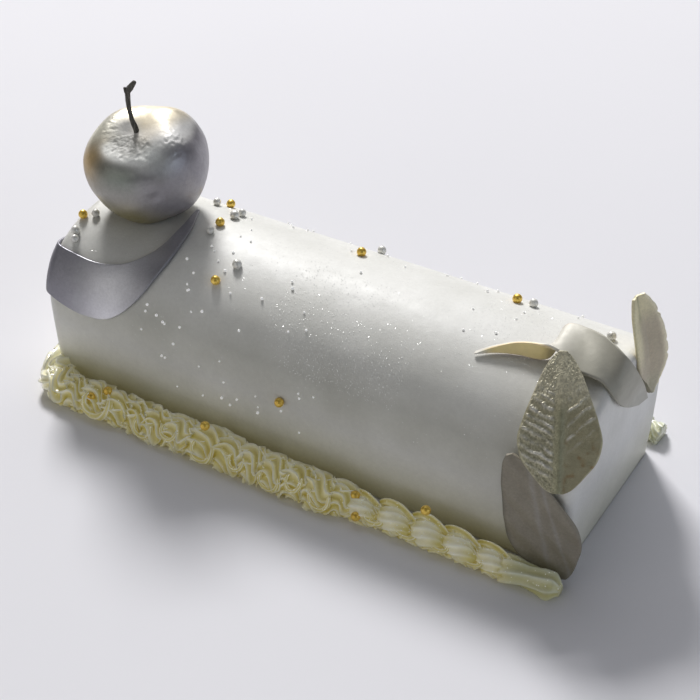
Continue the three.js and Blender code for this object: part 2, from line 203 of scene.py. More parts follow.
# ---------------------------------------------------------------- meshes
def placed(name, data):
    """A new object in the scene."""
    thing = bpy.data.objects.new(name, data)
    bpy.context.scene.collection.objects.link(thing)
    return thing


def make_piece(name, points, faces, material, slot, nodes=(), paint=None, smooth=True):
    """A mesh from points in millimetres, riding on the cake."""
    mesh = bpy.data.meshes.new(name)
    mesh.from_pydata((np.asarray(points) * MM).tolist(), [], faces)
    mesh.validate()
    if smooth:
        mesh.shade_smooth()
    mesh.materials.append(material)
    if paint is not None:
        layer = mesh.color_attributes.new("paint", "FLOAT_COLOR", "POINT")
        rgba = np.ones((len(points), 4), np.float32)
        rgba[:, :3] = paint
        layer.data.foreach_set("color", rgba.ravel())
    piece = placed(name, mesh)
    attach(piece, "root")
    if nodes:
        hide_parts(*nodes)
    return piece


def joined(parts):
    """Points and faces of several parts as one mesh."""
    points, faces, start = [], [], 0
    for part_points, part_faces in parts:
        points.append(part_points)
        faces += [[corner + start for corner in face] for face in part_faces]
        start += len(part_points)
    return np.vstack(points), faces


def quads(index):
    """Quads between the neighbours in a grid of point numbers."""
    corners = index[:-1, :-1], index[:-1, 1:], index[1:, 1:], index[1:, :-1]
    return points_at(*corners).reshape(-1, 4)


def ring_faces(rings, count):
    """Quads between rings of `count` points, and a fan at each end. The fans' middle
    points come after the rings."""
    index = np.arange(rings * count).reshape(rings, count)
    index = np.hstack([index, index[:, :1]])
    middle = rings * count
    first = points_at(middle, index[0, 1:], index[0, :-1])
    last = points_at(middle + 1, index[-1, :-1], index[-1, 1:])
    return quads(index).tolist() + first.tolist() + last.tolist()


def closed_rings(rings):
    """Points and faces of a closed body through rings of points (R, C, 3)."""
    middles = np.stack([rings[0].mean(axis=0), rings[-1].mean(axis=0)])
    points = np.vstack([rings.reshape(-1, 3), middles])
    faces = ring_faces(rings.shape[0], rings.shape[1])
    return points, outward(points, faces)


def outward(points, faces):
    """The faces, all turned over if they enclose a negative volume."""
    volume = 0.0
    for size in (3, 4):
        same = np.array([face for face in faces if len(face) == size])
        if len(same):
            a = points[same[:, 0]]
            for i in range(1, size - 1):
                b, c = points[same[:, i]], points[same[:, i + 1]]
                volume += np.einsum("ij,ij->", a, np.cross(b, c))
    return faces if volume > 0 else [face[::-1] for face in faces]


def grid_normals(grid):
    """Unit normals of a grid of points (R, C, 3)."""
    return unit(np.cross(np.gradient(grid, axis=0), np.gradient(grid, axis=1)))


def slab(front, back):
    """Points and faces of a closed slab between two equal grids."""
    rows, columns = front.shape[:2]
    half = rows * columns
    points = np.vstack([front.reshape(-1, 3), back.reshape(-1, 3)])
    index = np.arange(half).reshape(rows, columns)
    rim = np.concatenate([index[0, :-1], index[:-1, -1], index[-1, :0:-1], index[:0:-1, 0]])
    after = np.roll(rim, -1)
    sides = points_at(after, rim, rim + half, after + half)
    faces = np.vstack([quads(index), quads(index)[:, ::-1] + half, sides]).tolist()
    return points, outward(points, faces)


def rimmed(count, inset):
    """Places from 0 to 1 with extra ones close to both ends, for a rounded rim."""
    ends = inset * np.array([0, 0.08, 0.3, 0.62, 1])
    return np.concatenate([ends, np.linspace(inset, 1 - inset, count)[1:-1], 1 - ends[::-1]])


def half_round(rows, columns, across, along, thickness):
    """Half thickness over a sheet, falling off in a quarter circle at its four edges."""
    u = rows[:, None] * along
    v = columns[None, :] * across
    edge = np.minimum(np.minimum(u, along - u), np.minimum(v, across - v))
    share = np.clip(edge / (thickness / 2), 0, 1)
    return thickness / 2 * np.sqrt(np.clip(1 - (1 - share) ** 2, 0.004, 1))


def star_sweep(path, radii, fins, depth, turn, sharpness, samples, flat=1.0, ruffle=0.0):
    """Rings of a star-shaped rope along a path, and how deep in a valley each point is.
    `turn` is a function of the distance along the rope and the angle round it, and
    ruffled fins grow and shrink along the rope."""
    tangents = unit(np.gradient(path, axis=0))
    side = np.zeros_like(path)
    side[0] = unit(np.cross(tangents[0], [0, 0, 1.0]))
    for i in range(1, len(path)):
        carried = side[i - 1] - tangents[i] * np.dot(side[i - 1], tangents[i])
        side[i] = carried / np.linalg.norm(carried)
    rise = np.cross(side, tangents)
    angle = np.linspace(0, 2 * np.pi, fins * samples, endpoint=False)[None, :]
    run = run_along(path)[:, None]
    valley = np.abs(np.sin(angle * fins / 2)) ** sharpness
    wave = lumps(points_at(run / 5, angle * 1.4, 0), 1.0, 76, 2)
    reach = 1 - depth * valley + ruffle * wave * (1 - 0.6 * valley)
    spread = radii.reshape(len(path), -1) * reach
    turned = angle + turn(run, angle)
    rings = (
        path[:, None]
        + side[:, None] * (spread * np.cos(turned))[..., None]
        + rise[:, None] * (spread * np.sin(turned) * flat)[..., None]
    )
    return rings, np.clip(valley - 1.5 * ruffle * wave, 0, 1)


def ball(rings, sides):
    """Points and faces of a unit ball."""
    lift = np.linspace(-np.pi / 2, np.pi / 2, rings + 2)[1:-1, None]
    turn = np.linspace(0, 2 * np.pi, sides, endpoint=False)
    grid = points_at(np.cos(lift) * np.cos(turn), np.cos(lift) * np.sin(turn), np.sin(lift))
    points = np.vstack([grid.reshape(-1, 3), [[0, 0, -1], [0, 0, 1]]])
    return points, outward(points, ring_faces(rings, sides))


def beads(places, radii, rings, sides, uneven):
    """One joined mesh of small, slightly uneven balls."""
    points, faces = ball(rings, sides)
    parts = []
    for number, (place, radius) in enumerate(zip(places, radii)):
        shift = lumps(points * radius + 9 * number, radius, 3) * uneven
        parts.append((place + points * radius * (1 + shift)[:, None], faces))
    return joined(parts)


def crystals(places, normals, sizes, flatness):
    """One joined mesh of small eight-sided crystals, each lying flat on its place."""
    side = unit(np.cross(normals, unit(rng.normal(size=normals.shape))))
    axes = np.stack([side, np.cross(normals, side), normals], axis=1)
    points, faces = ball(1, 4)
    spread = points * (sizes[:, None] * [1, 0.8, flatness])[:, None]
    return joined([(corners, faces) for corners in places[:, None] + spread @ axes])


# ---------------------------------------------------------------- the log's form
SIDE_STEPS, ARCH_STEPS, BASE_STEPS = 22, 110, 14      # points of the cross-section


def tuck_at(z):
    """How far the side is drawn in at a height."""
    return LOG_TUCK * (1 - np.sin(np.clip(z / LOG_SPRING, 0, 1) * np.pi / 2))


def section_distance(y, z):
    """Signed distance from a point of the cross-section to its outline."""
    across = np.abs(y) / LOG_HALF
    up = np.maximum((z - LOG_SPRING) / (LOG_HEIGHT - LOG_SPRING), 0)
    level = np.maximum((across**ARCH_POWER + up**ARCH_POWER) ** (1 / ARCH_POWER), 1e-6)
    slope = np.hypot(
        across ** (ARCH_POWER - 1) / LOG_HALF,
        up ** (ARCH_POWER - 1) / (LOG_HEIGHT - LOG_SPRING),
    ) * level ** (1 - ARCH_POWER)
    arch = (level - 1) / np.maximum(slope, 1e-6)
    return np.where(z <= LOG_SPRING, np.abs(y) - LOG_HALF + tuck_at(z), arch)


def glaze_distance(where):
    """Signed distance from a point to the glaze, less than 0 inside the log."""
    x, y, z = np.moveaxis(where, -1, 0)
    a = section_distance(y, z) + RIM_RADIUS
    b = np.abs(x) - LOG_LENGTH / 2 + tuck_at(z) + RIM_RADIUS
    corner = np.hypot(np.maximum(a, 0), np.maximum(b, 0))
    return corner + np.minimum(np.maximum(a, b), 0) - RIM_RADIUS


def glaze_normal(where):
    """The glaze's outward direction at a point."""
    return unit(points_at(*(
        glaze_distance(where + step) - glaze_distance(where - step) for step in 0.05 * np.eye(3)
    )))


def on_glaze(where, height=0.0):
    """The points nearest to `where` that stand `height` off the glaze."""
    found = np.array(where, float)
    for _ in range(6):
        gap = height - glaze_distance(found)
        found = found + glaze_normal(found) * gap[..., None]
    return found


def off_log(points, height=0.2):
    """Points pushed out until they stand `height` off the glaze."""
    sunk = np.maximum(height - glaze_distance(points), 0)
    return points + glaze_normal(points) * sunk[:, None]


def section_outline():
    """The cross-section (y, z), front base corner first, with its flat base last. Its
    points are evenly spaced, because those of the arch bunch up at its spring."""
    z = np.linspace(0, LOG_SPRING, SIDE_STEPS, endpoint=False)
    front = points_at(tuck_at(z) - LOG_HALF, z)
    angle = np.pi * (1 - np.linspace(0, 1, ARCH_STEPS + 1))
    power = 2 / ARCH_POWER
    arch = points_at(
        np.sign(np.cos(angle)) * LOG_HALF * np.abs(np.cos(angle)) ** power,
        LOG_SPRING + (LOG_HEIGHT - LOG_SPRING) * np.abs(np.sin(angle)) ** power,
    )
    back = front[::-1] * [-1, 1]
    y = np.linspace(back[-1, 0], front[0, 0], BASE_STEPS + 2)[1:-1]
    over = evenly(np.vstack([front, arch, back]), SIDE_STEPS * 2 + ARCH_STEPS)
    return np.vstack([over, points_at(y, 0)])


def log_rings():
    """Rings of points round the log, from its left face to its right one."""
    outline = section_outline()
    run = np.gradient(outline[:-BASE_STEPS], axis=0)
    out = np.zeros_like(outline)
    out[:-BASE_STEPS] = unit(points_at(-run[:, 1], run[:, 0]))
    out[0], out[-BASE_STEPS - 1] = [-1, 0], [1, 0]
    inner = outline - out * RIM_RADIUS
    middle = np.array([0, 30.0])
    end = [
        (LOG_LENGTH / 2, middle + (inner - middle) * share)
        for share in np.linspace(0.06, 1, 20)[:-1]
    ]
    for angle in np.linspace(0, np.pi / 2, 9):
        inset, drop = RIM_RADIUS * (1 - math.sin(angle)), RIM_RADIUS * (1 - math.cos(angle))
        end.append((LOG_LENGTH / 2 - drop, outline - out * inset))
    body = np.linspace(-1, 1, 150)[1:-1] * (LOG_LENGTH / 2 - RIM_RADIUS)
    rings = [(-x, ring) for x, ring in end] + [(x, outline) for x in body] + end[::-1]
    x = np.array([x for x, _ in rings])[:, None]
    y, z = np.moveaxis(np.array([ring for _, ring in rings]), -1, 0)
    return points_at(x - np.sign(x) * tuck_at(z) * ease(np.abs(x), 60, 120), y, z)


CROWN_EDGE = -21                 # the y from which the painted light and shade on the glaze go by the way back
GLAZE_LIGHT_AND_SHADE = [                   # height in front of that edge, y + 90 behind it; painted brightness: shade on the shoulder, highlight on the crown
    (26, 0.86), (41, 0.69), (49, 0.66), (57, 0.83), (63, 0.89), (69, 0.86), (77, 0.76),
    (88, 0.89), (99, 0.98), (118, 0.98), (130, 0.86),
]
END_TONE = 0.86                  # painted brightness on the log's two end faces


def painted_glaze_light_and_shade(points):
    """Painted light and shade over the log: painted shade on the shoulder, with an olive tint, and a
    painted highlight on the crown.
    """
    x, y, z = points.T
    place = np.where(y < CROWN_EDGE, z, 90 + y)
    body = 1 - ease(np.abs(x), 120, 125)
    level = np.interp(place, *np.array(GLAZE_LIGHT_AND_SHADE).T)
    level = END_TONE + (level - END_TONE) * body
    level = level * (1 + 0.03 * lumps(points, 22, 5, 2))
    # painted shade: a little less blue in the shaded band on the shoulder
    olive = near(place, 45, 13) * body
    return level[:, None] * (1 - olive[:, None] * np.array([0.0, 0.0, 0.06]))


def make_log(material):
    grid = log_rings()
    flat = grid.reshape(-1, 3)
    normal = glaze_normal(flat)
    end = ease(np.abs(normal[:, 0]), 0.3, 0.9)
    waves = 0.22 * lumps(flat, 34, 1, 2) * (1 - end)
    streaks = lumps(flat * [1, 1, 0.12], 3.4, 2, 2)
    waves += 0.2 * streaks * end * ease(flat[:, 2], 2, 20)
    held = ease(flat[:, 2], 0, 4)
    points = flat + normal * (waves * held)[:, None]
    points[:, 2] = np.maximum(points[:, 2], 0)
    points, faces = closed_rings(points.reshape(grid.shape))
    paint = painted_glaze_light_and_shade(points)
    make_piece("glazed_log", points, faces, material, "satin_glaze", ["cake_log"], paint)


# ---------------------------------------------------------------- apple and stalk
APPLE_PROFILE = [
    (0, -21.4), (6, -22.8), (11.5, -22.8), (18.6, -18.2), (24.6, -10), (27, 0),
    (25.4, 9.6), (20.8, 15.4), (15.5, 18.3), (10.6, 19), (6.2, 18.5), (2.8, 17.9), (0, 17.7),
]
DISH = (-96.4, -14.4, 110.3)     # the pressed hollow in front of the stalk
DISH_REACH = 8.8                 # across it; it is wider along the log
DISH_DEPTH = 3.4
DENTS = [                        # place, width and depth, less than 0 for a bulge
    ((-113, -1, 111), 9, -2.6), ((-80, 9, 112.5), 9, 1.6), ((-95.5, 1, 113.5), 5.5, -1),
    ((-111, -22, 84), 2.2, 0.5), ((-80.5, -19, 92), 2.6, 0.5), ((-92, -25, 90), 5, 0.5),
]
WRINKLES = [((-80, -4, 111), 6.5), ((-110, -9, 112), 4)]     # place and width
FOIL_GREY = (0.36, 0.345, 0.325)
STALKS = [                       # route, radii, steps along it and seed; the stem and its nub
    ([
        (-99, -4.2, 109.4), (-99.6, -4.4, 112.4), (-101.1, -4.5, 116.9), (-102.2, -4.5, 122.7),
        (-102, -4.5, 129.3), (-100.4, -4.5, 131.6), (-97.9, -4.5, 135),
    ], [1.5, 1.25, 1.0, 1.0, 1.15, 1.5, 0.9], 90, 1),
    ([(-101.6, -4.5, 128.2), (-102.8, -4.9, 129.6), (-103.1, -5.1, 131.4)], [0.8, 0.75, 0.5], 16, 2),
]


def leaning(points):
    """Turned as the apple leans, and moved to its centre."""
    lean = Matrix.Rotation(math.radians(APPLE_LEAN[1]), 3, "Y")
    lean = lean @ Matrix.Rotation(math.radians(APPLE_LEAN[0]), 3, "X")
    return points @ np.array(lean).T + APPLE_CENTRE


def make_apple(material):
    profile = evenly(through(APPLE_PROFILE, np.linspace(0, 1, 400)), 150)[1:-1]
    turn = np.linspace(0, 2 * np.pi, 240, endpoint=False)
    across, up = profile[:, :1], profile[:, 1:]
    grid = points_at(across * np.cos(turn), across * np.sin(turn), up)
    flat = grid.reshape(-1, 3)
    normal = unit(flat * [1, 1, 1.3])
    radial = np.hypot(flat[:, 0], flat[:, 1])
    turned = leaning(flat)
    from_dish = np.linalg.norm((turned - DISH) * [0.62, 1, 1], axis=1)
    hollow = 1 - ease(from_dish, DISH_REACH * 0.7, DISH_REACH)
    ribs = 0.4 * np.cos(5 * np.arctan2(flat[:, 1], flat[:, 0]) + 0.6) * ease(radial, 6, 18)
    shape = 0.5 * lumps(flat, 17, 4, 2) + ribs - DISH_DEPTH * near(from_dish, 0, DISH_REACH * 0.85)
    for place, width, depth in DENTS:
        shape = shape - depth * patch(turned, place, width)
    crease = 1 - np.abs(lumps(flat, 1.9, 8, 3)) * 2.2
    foil = 0.4 * np.clip(crease, -0.3, 1) * hollow
    wrinkled = np.clip(sum(patch(turned, place, width) for place, width in WRINKLES), 0, 1)
    foil = foil + 0.22 * wrinkled * (1 - np.abs(lumps(flat, 1.9, 6, 2)) * 3)
    points = off_log(leaning(flat + normal * (shape + foil)[:, None]), 0.25)

    x, y, z = turned.T
    crown = ease(z, 110, 114) * ease(y, -9, 0) * (1 - ease(x, -92, -82))
    # painted highlight along the top of the apple
    top_highlight = ease(z, 109, 113) * (1 - hollow) * (1 - crown)
    lilac = ease(x, -92, -76) * (1 - top_highlight)
    # painted reflection: a dark green-grey band round the apple's middle
    green_reflection = near(z, 100.5, 6) * (1 - lilac)
    # painted highlight: the bright rim below the dish and one corner of it
    dish_edge_highlight = near(from_dish, DISH_REACH * 0.85, 2.1) * (1 - ease(y, -18, -13))
    edge_corner_highlight = patch((turned - (-86, -18.5, 105.6)) * [0.55, 1, 1.3], 0, 3.6)
    paint = tinted(np.full((len(flat), 3), FOIL_GREY), (
        # painted shade: darker and browner towards the bottom
        (1 - ease(z, 79, 93), (0.27, 0.235, 0.11)),
        (green_reflection, (0.28, 0.305, 0.27)),
        (lilac, (0.36, 0.345, 0.375)),
        # painted shade: two darker patches low on the front
        (patch(turned, (-109, -23, 96), 9) * 0.8, (0.23, 0.23, 0.21)),
        (patch(turned, (-79.3, -16.6, 100.2), 5) * 0.75, (0.20, 0.19, 0.185)),
        (patch(turned, (-114, -18, 101), 9), (0.56, 0.37, 0.13)),
        (top_highlight, (0.92, 0.91, 0.89)),
        (hollow, (0.47, 0.465, 0.44)),
        (dish_edge_highlight, (0.98, 0.98, 0.94)),
        (edge_corner_highlight * 0.75, (0.98, 0.98, 0.94)),
        (crown, (0.92, 0.82, 0.63)),
        # painted highlight on the left shoulder
        (patch(turned, (-115, -8, 108), 8), (0.99, 0.96, 0.80)),
        (patch(turned, (-91, -5.5, 111.5), 5), (0.95, 0.88, 0.76)),
        # painted highlight: a pale glint to the right of the dish
        (patch(turned, (-83, -13, 107.5), 6.5), (0.88, 0.90, 0.87)),
        (patch(turned, (-104.5, -3.5, 112.3), 3.6), (0.46, 0.455, 0.44)),
    ))
    paint = paint * (1 + 0.07 * lumps(flat, 7, 12, 2))[:, None]
    points, faces = closed_rings(points.reshape(grid.shape))
    paint = np.vstack([paint, paint[0], paint[-1]])
    make_piece("silvered_apple", points, faces, material, "silver_lustre", ["apple"], paint)


def make_stalk(material):
    parts = []
    for route, radii, steps, seed in STALKS:
        path = evenly(through(route, np.linspace(0, 1, 300)), steps)
        widths = np.interp(np.linspace(0, 1, steps), np.linspace(0, 1, len(radii)), radii)
        rings, _ = star_sweep(path, widths, 5, 0.16, lambda run, angle: run / 20, 1.2, 5)
        flat = rings.reshape(-1, 3)
        centre = np.repeat(path, rings.shape[1], axis=0)
        knobs = lumps(flat, 2.2, 20 + seed, 2) * 0.3 * ease(flat[:, 2], 124, 130)
        ragged = lumps(flat * [1, 1, 0.35], 0.9, 30 + seed) * 0.12
        flat = flat + unit(flat - centre) * (knobs + ragged)[:, None]
        parts.append(closed_rings(flat.reshape(rings.shape)))
    make_piece("woody_stalk", *joined(parts), material, "bark", ["apple_stem"])


# ---------------------------------------------------------------- band and curl
BAND_UPPER = [
    (-80, 8, 72), (-77, -8, 71.6), (-78.5, -23, 69), (-88, -32, 64.5), (-101, -34.5, 61.5),
    (-114, -34, 61.5), (-125, -32, 62.5), (-127, -22, 62), (-127, -4, 60),
]
BAND_LOWER = [
    (-79, 8.6, 72), (-72, -8, 71.6), (-70, -26, 67), (-77, -41, 54), (-91, -44.6, 42),
    (-106, -45, 39.6), (-120, -45, 42.5), (-127, -34, 46), (-127, -3.6, 58.6),
]
CURL_NEAR = [
    (72.3, -20.8, 70.6), (78.2, -17.6, 73.6), (86.5, -14, 76.6), (95.9, -13.2, 78.6),
    (104, -14.8, 78.8), (113.3, -18, 75.4), (122.4, -16.6, 73), (127.8, -16, 67),
    (127.9, -9, 59.4), (127.8, 1, 51.8), (127.8, 13, 45),
]
CURL_FAR = [
    (72, -21, 70.2), (79, -17, 71), (87.3, -14.6, 71.4), (98.5, -11.6, 72.0),
    (99.5, 3.5, 78.8), (108.5, 3.3, 80.1), (116.8, -0.2, 81.3), (127.2, -5.2, 79.3),
    (130.1, 2.5, 67.4), (127.8, 19, 49.5), (127.8, 23, 42),
]


BAND_GREY = (0.27, 0.265, 0.30)
CURL_IVORY = (0.80, 0.775, 0.70)


def strip(edge_a, edge_b, rows, columns):
    """A sheet of points between two edge lines, and half its thickness at each point."""
    a, b = through(edge_a, rows), through(edge_b, rows)
    sheet = a[:, None] + (b - a)[:, None] * columns[None, :, None]
    middle = sheet[:, len(columns) // 2]
    along = np.linalg.norm(np.diff(middle, axis=0), axis=1).sum()
    across = np.linalg.norm(np.diff(sheet, axis=1), axis=2).sum(axis=1).max()
    return sheet, half_round(rows, columns, across, along, STRIP_THICKNESS)


def make_band(material):
    sheet, half = strip(BAND_UPPER, BAND_LOWER, rimmed(150, 0.008), rimmed(22, 0.06))
    swell = half + 0.14 * lumps(sheet, 9, 3, 2) * half / (STRIP_THICKNESS / 2)
    middle = GAP + STRIP_THICKNESS / 2
    front = on_glaze(sheet, middle + swell)
    back = on_glaze(sheet, middle - half)
    points, faces = slab(front, back)
    x = np.tile(sheet[..., 0].ravel(), 2)
    # painted shade: darker towards both ends, paler in the middle
    paint = np.array(BAND_GREY) + 0.5 * near(x, -91, 15)[:, None]
    paint = paint * (1 + 0.06 * lumps(points, 6, 14, 2))[:, None]
    make_piece("lilac_band", points, faces, material, "lilac_lustre", ["silver_band"], paint)


def make_curl(material):
    rows, columns = rimmed(190, 0.006), rimmed(26, 0.05)
    sheet, half = strip(CURL_NEAR, CURL_FAR, rows, columns)
    normal = grid_normals(sheet)
    bend = (0.2 * lumps(sheet, 14, 5, 2))[..., None] * ease(rows, 0.05, 0.2)[:, None, None]
    sheet = sheet + normal * bend
    points, faces = slab(sheet + normal * half[..., None], sheet - normal * half[..., None])
    x = points[:, 0]
    inner = np.repeat([0, 1], sheet[..., 0].size)
    tail = ease(x, 74, 79) * (1 - ease(x, 97, 103))
    upper, lower = (
        np.tile(near(columns, place, 0.06), 2 * len(rows)) for place in (0, 1)
    )
    paint = tinted(np.full((len(points), 3), CURL_IVORY), (
        # painted shade: darker where the curl falls away to the right, and lower down over the end face
        (ease(x, 97, 111), (0.42, 0.405, 0.34)),
        (1 - ease(points[:, 2], 48, 66), (0.50, 0.49, 0.43)),
        # painted light: the warm glow of light through the thin strip on the tail's inner side, paler
        # by its top edge
        (tail * inner, (1.0, 0.84, 0.42)),
        (tail * inner * upper, (0.92, 0.76, 0.48)),
        # painted shadow: a warm dark line along the tail's lower edge
        (tail * lower, (0.62, 0.48, 0.34)),
    ))
    make_piece("ivory_curl", points, faces, material, "ivory_strip", ["pale_curl"], paint)


# ---------------------------------------------------------------- leaves
POINTED = [
    (0, 0.12), (0.03, 0.32), (0.13, 0.64), (0.25, 0.92), (0.37, 1), (0.5, 0.9), (0.65, 0.72),
    (0.82, 0.5), (0.94, 0.28), (1, 0.08),
]
BLUNT = [
    (0, 0.3), (0.05, 0.4), (0.2, 0.72), (0.38, 1), (0.55, 1), (0.7, 0.93), (0.84, 0.8),
    (0.94, 0.58), (1, 0.36),
]


def make_leaf(name, node, slot, material, outline, length, width, bow, fold, foot, up, across,
              relief, painter, torn=0, clear=off_log):
    """A leaf from its outline, shares of its length and half width. It stands on its foot
    along `up`, bowed forward and folded at its midrib. `relief` and `painter` read the
    places on it: millimetres along it and to its right, and its half width there. `torn`
    is how uneven its right rim is, and `clear` keeps its points out of what it leans on."""
    rows, columns = rimmed(200, 0.01), rimmed(110, 0.015)
    line = through(outline, rows)
    along = line[:, :1] * length
    half_width = line[:, 1:] * width / 2
    side = (columns * 2 - 1) * half_width
    bites = np.clip(lumps(points_at(along, 0, 0), 2.6, 64, 2), 0, 1)
    side = np.where(side > 0, side * (1 - torn * bites), side)
    up = unit(np.array(up, float))
    across = np.array(across, float)
    across = unit(across - up * (across @ up))
    out = np.cross(across, up)
    lift = bow * np.sin(np.pi * along / length) - fold * np.abs(side)
    middle = (
        np.array(foot, float)
        + along[..., None] * up
        + side[..., None] * across
        + lift[..., None] * out
    )
    half = half_round(rows, columns, width * 0.8, length, LEAF_THICKNESS)
    normal = grid_normals(middle)
    normal = normal * np.sign(np.sum(normal * out, axis=-1, keepdims=True))
    place = points_at(along, side, 0)
    raised = relief(place, half_width) * half / (LEAF_THICKNESS / 2)
    front = middle + normal * (half + raised)[..., None]
    points, faces = slab(front, middle - normal * half[..., None])
    paint = np.vstack([
        painter(place, half_width, in_front).reshape(-1, 3) for in_front in (1, 0)
    ])
    make_piece(name, clear(points), faces, material, slot, [node], paint)


def places_on(place):
    """Millimetres along a leaf and to its right, for places on it."""
    return place[..., 0], place[..., 1]


def front_veins(place, half_width):
    """How much of a side vein there is at a place on the front leaf."""
    along, side = places_on(place)
    left = side < 0
    slant = np.where(left, 0.55, 0.9)
    run = along - np.abs(side) * slant + 1.3 * lumps(place, 5, 45, 2) + 0.8
    spacing = np.where(left, 3.1, 5.2)
    vein = near((run / spacing) % 1, 0.5, 0.62 / spacing)
    reach = ease(np.abs(side), 1.6, 3.2) * (1 - ease(np.abs(side), half_width * 0.86, half_width))
    bare = np.where(left, 0, 1 - ease(along - 0.5 * side, 12, 18))
    tip, foot = 1 - ease(along, 34, 42), ease(along, 3, 8)
    patchy = 0.5 + 0.6 * lumps(place * [1, 0.5, 1], 3.2, 47) + 0.35 * lumps(place, 0.7, 48)
    return np.clip(vein * reach * (1 - bare) * tip * foot * patchy, 0, 1.1)


def front_relief(place, half_width):
    along, side = places_on(place)
    left = 1 - ease(side, -1, 3)
    midrib = 0.35 * near(side, 0, 1.4) * (1 - ease(along, 28, 40))
    grit = lumps(place, 0.5, 40) * (0.05 + 0.12 * ease(along, 26, 36) + 0.14 * left)
    grit = grit * ease(np.abs(side), 0.8, 2.2)
    plain = (1 - left) * (1 - ease(along, 14, 22))
    waves = 0.28 * lumps(place, 7, 42, 2)
    return front_veins(place, half_width) * 0.6 + midrib + grit * (1 - plain) + waves


def front_colours(place, half_width, in_front):
    along, side = places_on(place)
    left = (1 - ease(side, -2, 2)) * (1 - ease(along, 24, 34))
    spots = ease(lumps(place, 3.4, 44, 2), 0.25, 0.6) * ease(side, 0, 3) * (1 - ease(along, 16, 24))
    veins = np.clip(front_veins(place, half_width) * in_front * 1.1, 0, 1)
    base = tinted(np.full(place.shape, (0.47, 0.43, 0.275)), (
        (left, (0.50, 0.47, 0.32)),
        (spots, (0.36, 0.25, 0.12)),
        (near(side, 0, 1.7) * (1 - ease(along, 26, 38)), (0.41, 0.40, 0.26)),
        (ease(along, 28, 40), (0.70, 0.655, 0.48)),
        (veins, (0.77, 0.75, 0.68)),
    ))
    grain = lumps(place, 0.5, 49) * np.maximum(ease(along, 26, 36), left)
    return base * (1 + 0.12 * lumps(place, 2.2, 46, 2) + 0.3 * grain)[..., None]


def lower_relief(place, half_width):
    folds = 0.35 * np.sin((place[..., 0] * 0.45 + place[..., 1]) * 0.62)
    return folds + 0.35 * lumps(place, 11, 50, 2) + 0.06 * lumps(place, 1.2, 51)


def lower_colours(place, half_width, in_front):
    along, side = places_on(place)
    streak = near(side - 0.2 * along + 4, 0, 1.1) + near(side - 0.1 * along - 4, 0, 0.8)
    base = tinted(np.full(place.shape, (0.32, 0.29, 0.23)), (
        (np.clip(streak, 0, 1) * 0.4, (0.44, 0.42, 0.40)),
        (ease(-side / half_width, 0.82, 1), (0.22, 0.20, 0.16)),
    ))
    return base * (1 + 0.1 * lumps(place, 5, 52, 2))[..., None]


def end_relief(place, half_width):
    groove = -0.2 * near(place[..., 1], -0.35 * half_width, 1.4)
    return groove + 0.25 * lumps(place, 8, 60, 2) + 0.05 * lumps(place, 1.3, 61)


def end_colours(place, half_width, in_front):
    along, aside = place[..., 0], place[..., 1] / half_width
    # the top, painted with light shining through it from behind
    top = ease(along, 36, 46)
    groove = near(aside, -0.35, 0.14) * (0.6 + 0.6 * lumps(place, 5, 63))
    base = tinted(np.full(place.shape, (0.59, 0.52, 0.39)), (
        # painted shade: darker at the foot, low against the end face
        (1 - ease(along, 6, 16), (0.52, 0.49, 0.36)),
        # painted light: the top is paler and yellower where light shines through it from behind
        (top, (0.84, 0.77, 0.52)),
        (ease(aside, 0.62, 0.95), (0.95, 0.88, 0.66)),
        # painted light: the left rim is paler where light shines through its thin fold
        ((1 - ease(aside, -0.8, -0.2)) * ease(along, 14, 34), (0.92, 0.85, 0.57)),
        # painted shade in the groove near the top
        (groove * top, (0.40, 0.39, 0.22)),
    ))
    return base * (1 + 0.08 * lumps(place, 4, 62, 2))[..., None]


def clear_of_curl(points):
    """Points of the end leaf kept off the log and behind the curl's far edge."""
    points = off_log(points)
    places = np.linspace(0.55, 1, 160)
    far, close = through(CURL_FAR, places), through(CURL_NEAR, places)
    far = far[far[:, 0] > 120]
    far, close = far[np.argsort(far[:, 2])], close[np.argsort(close[:, 2])]
    x, y, z = points.T
    limit = np.interp(z, far[:, 2], far[:, 1]) + 1.2
    covered = (z < 72) & (y < limit) & (x < np.interp(z, close[:, 2], close[:, 0]) + 4)
    return points_at(x, np.where(covered, limit, y), z)


def make_leaves(olive, taupe, cream):
    make_leaf(
        "veined_leaf", "front_leaf", "olive_lustre", olive,
        POINTED, 53, 31, 2, 0.08, (123.3, -51.4, 45), (-16.7, 34, 36.5), (0.92, 0.4, 0.06),
        front_relief, front_colours,
    )
    make_leaf(
        "taupe_leaf", "lower_leaf", "taupe_lustre", taupe,
        POINTED, 57, 30, 1, 0.04, (127, -47.4, 0.9), (-25, 0, 49.6), (0.88, 0.1, 0.45),
        lower_relief, lower_colours,
    )
    make_leaf(
        "cream_leaf", "end_leaf", "cream_lustre", cream,
        BLUNT, 50, 16.2, 2.5, -0.35, (128.3, 22, 45), (-6.9, -8.2, 49.2), (0.38, 0.925, 0),
        end_relief, end_colours, 0.16, clear_of_curl,
    )


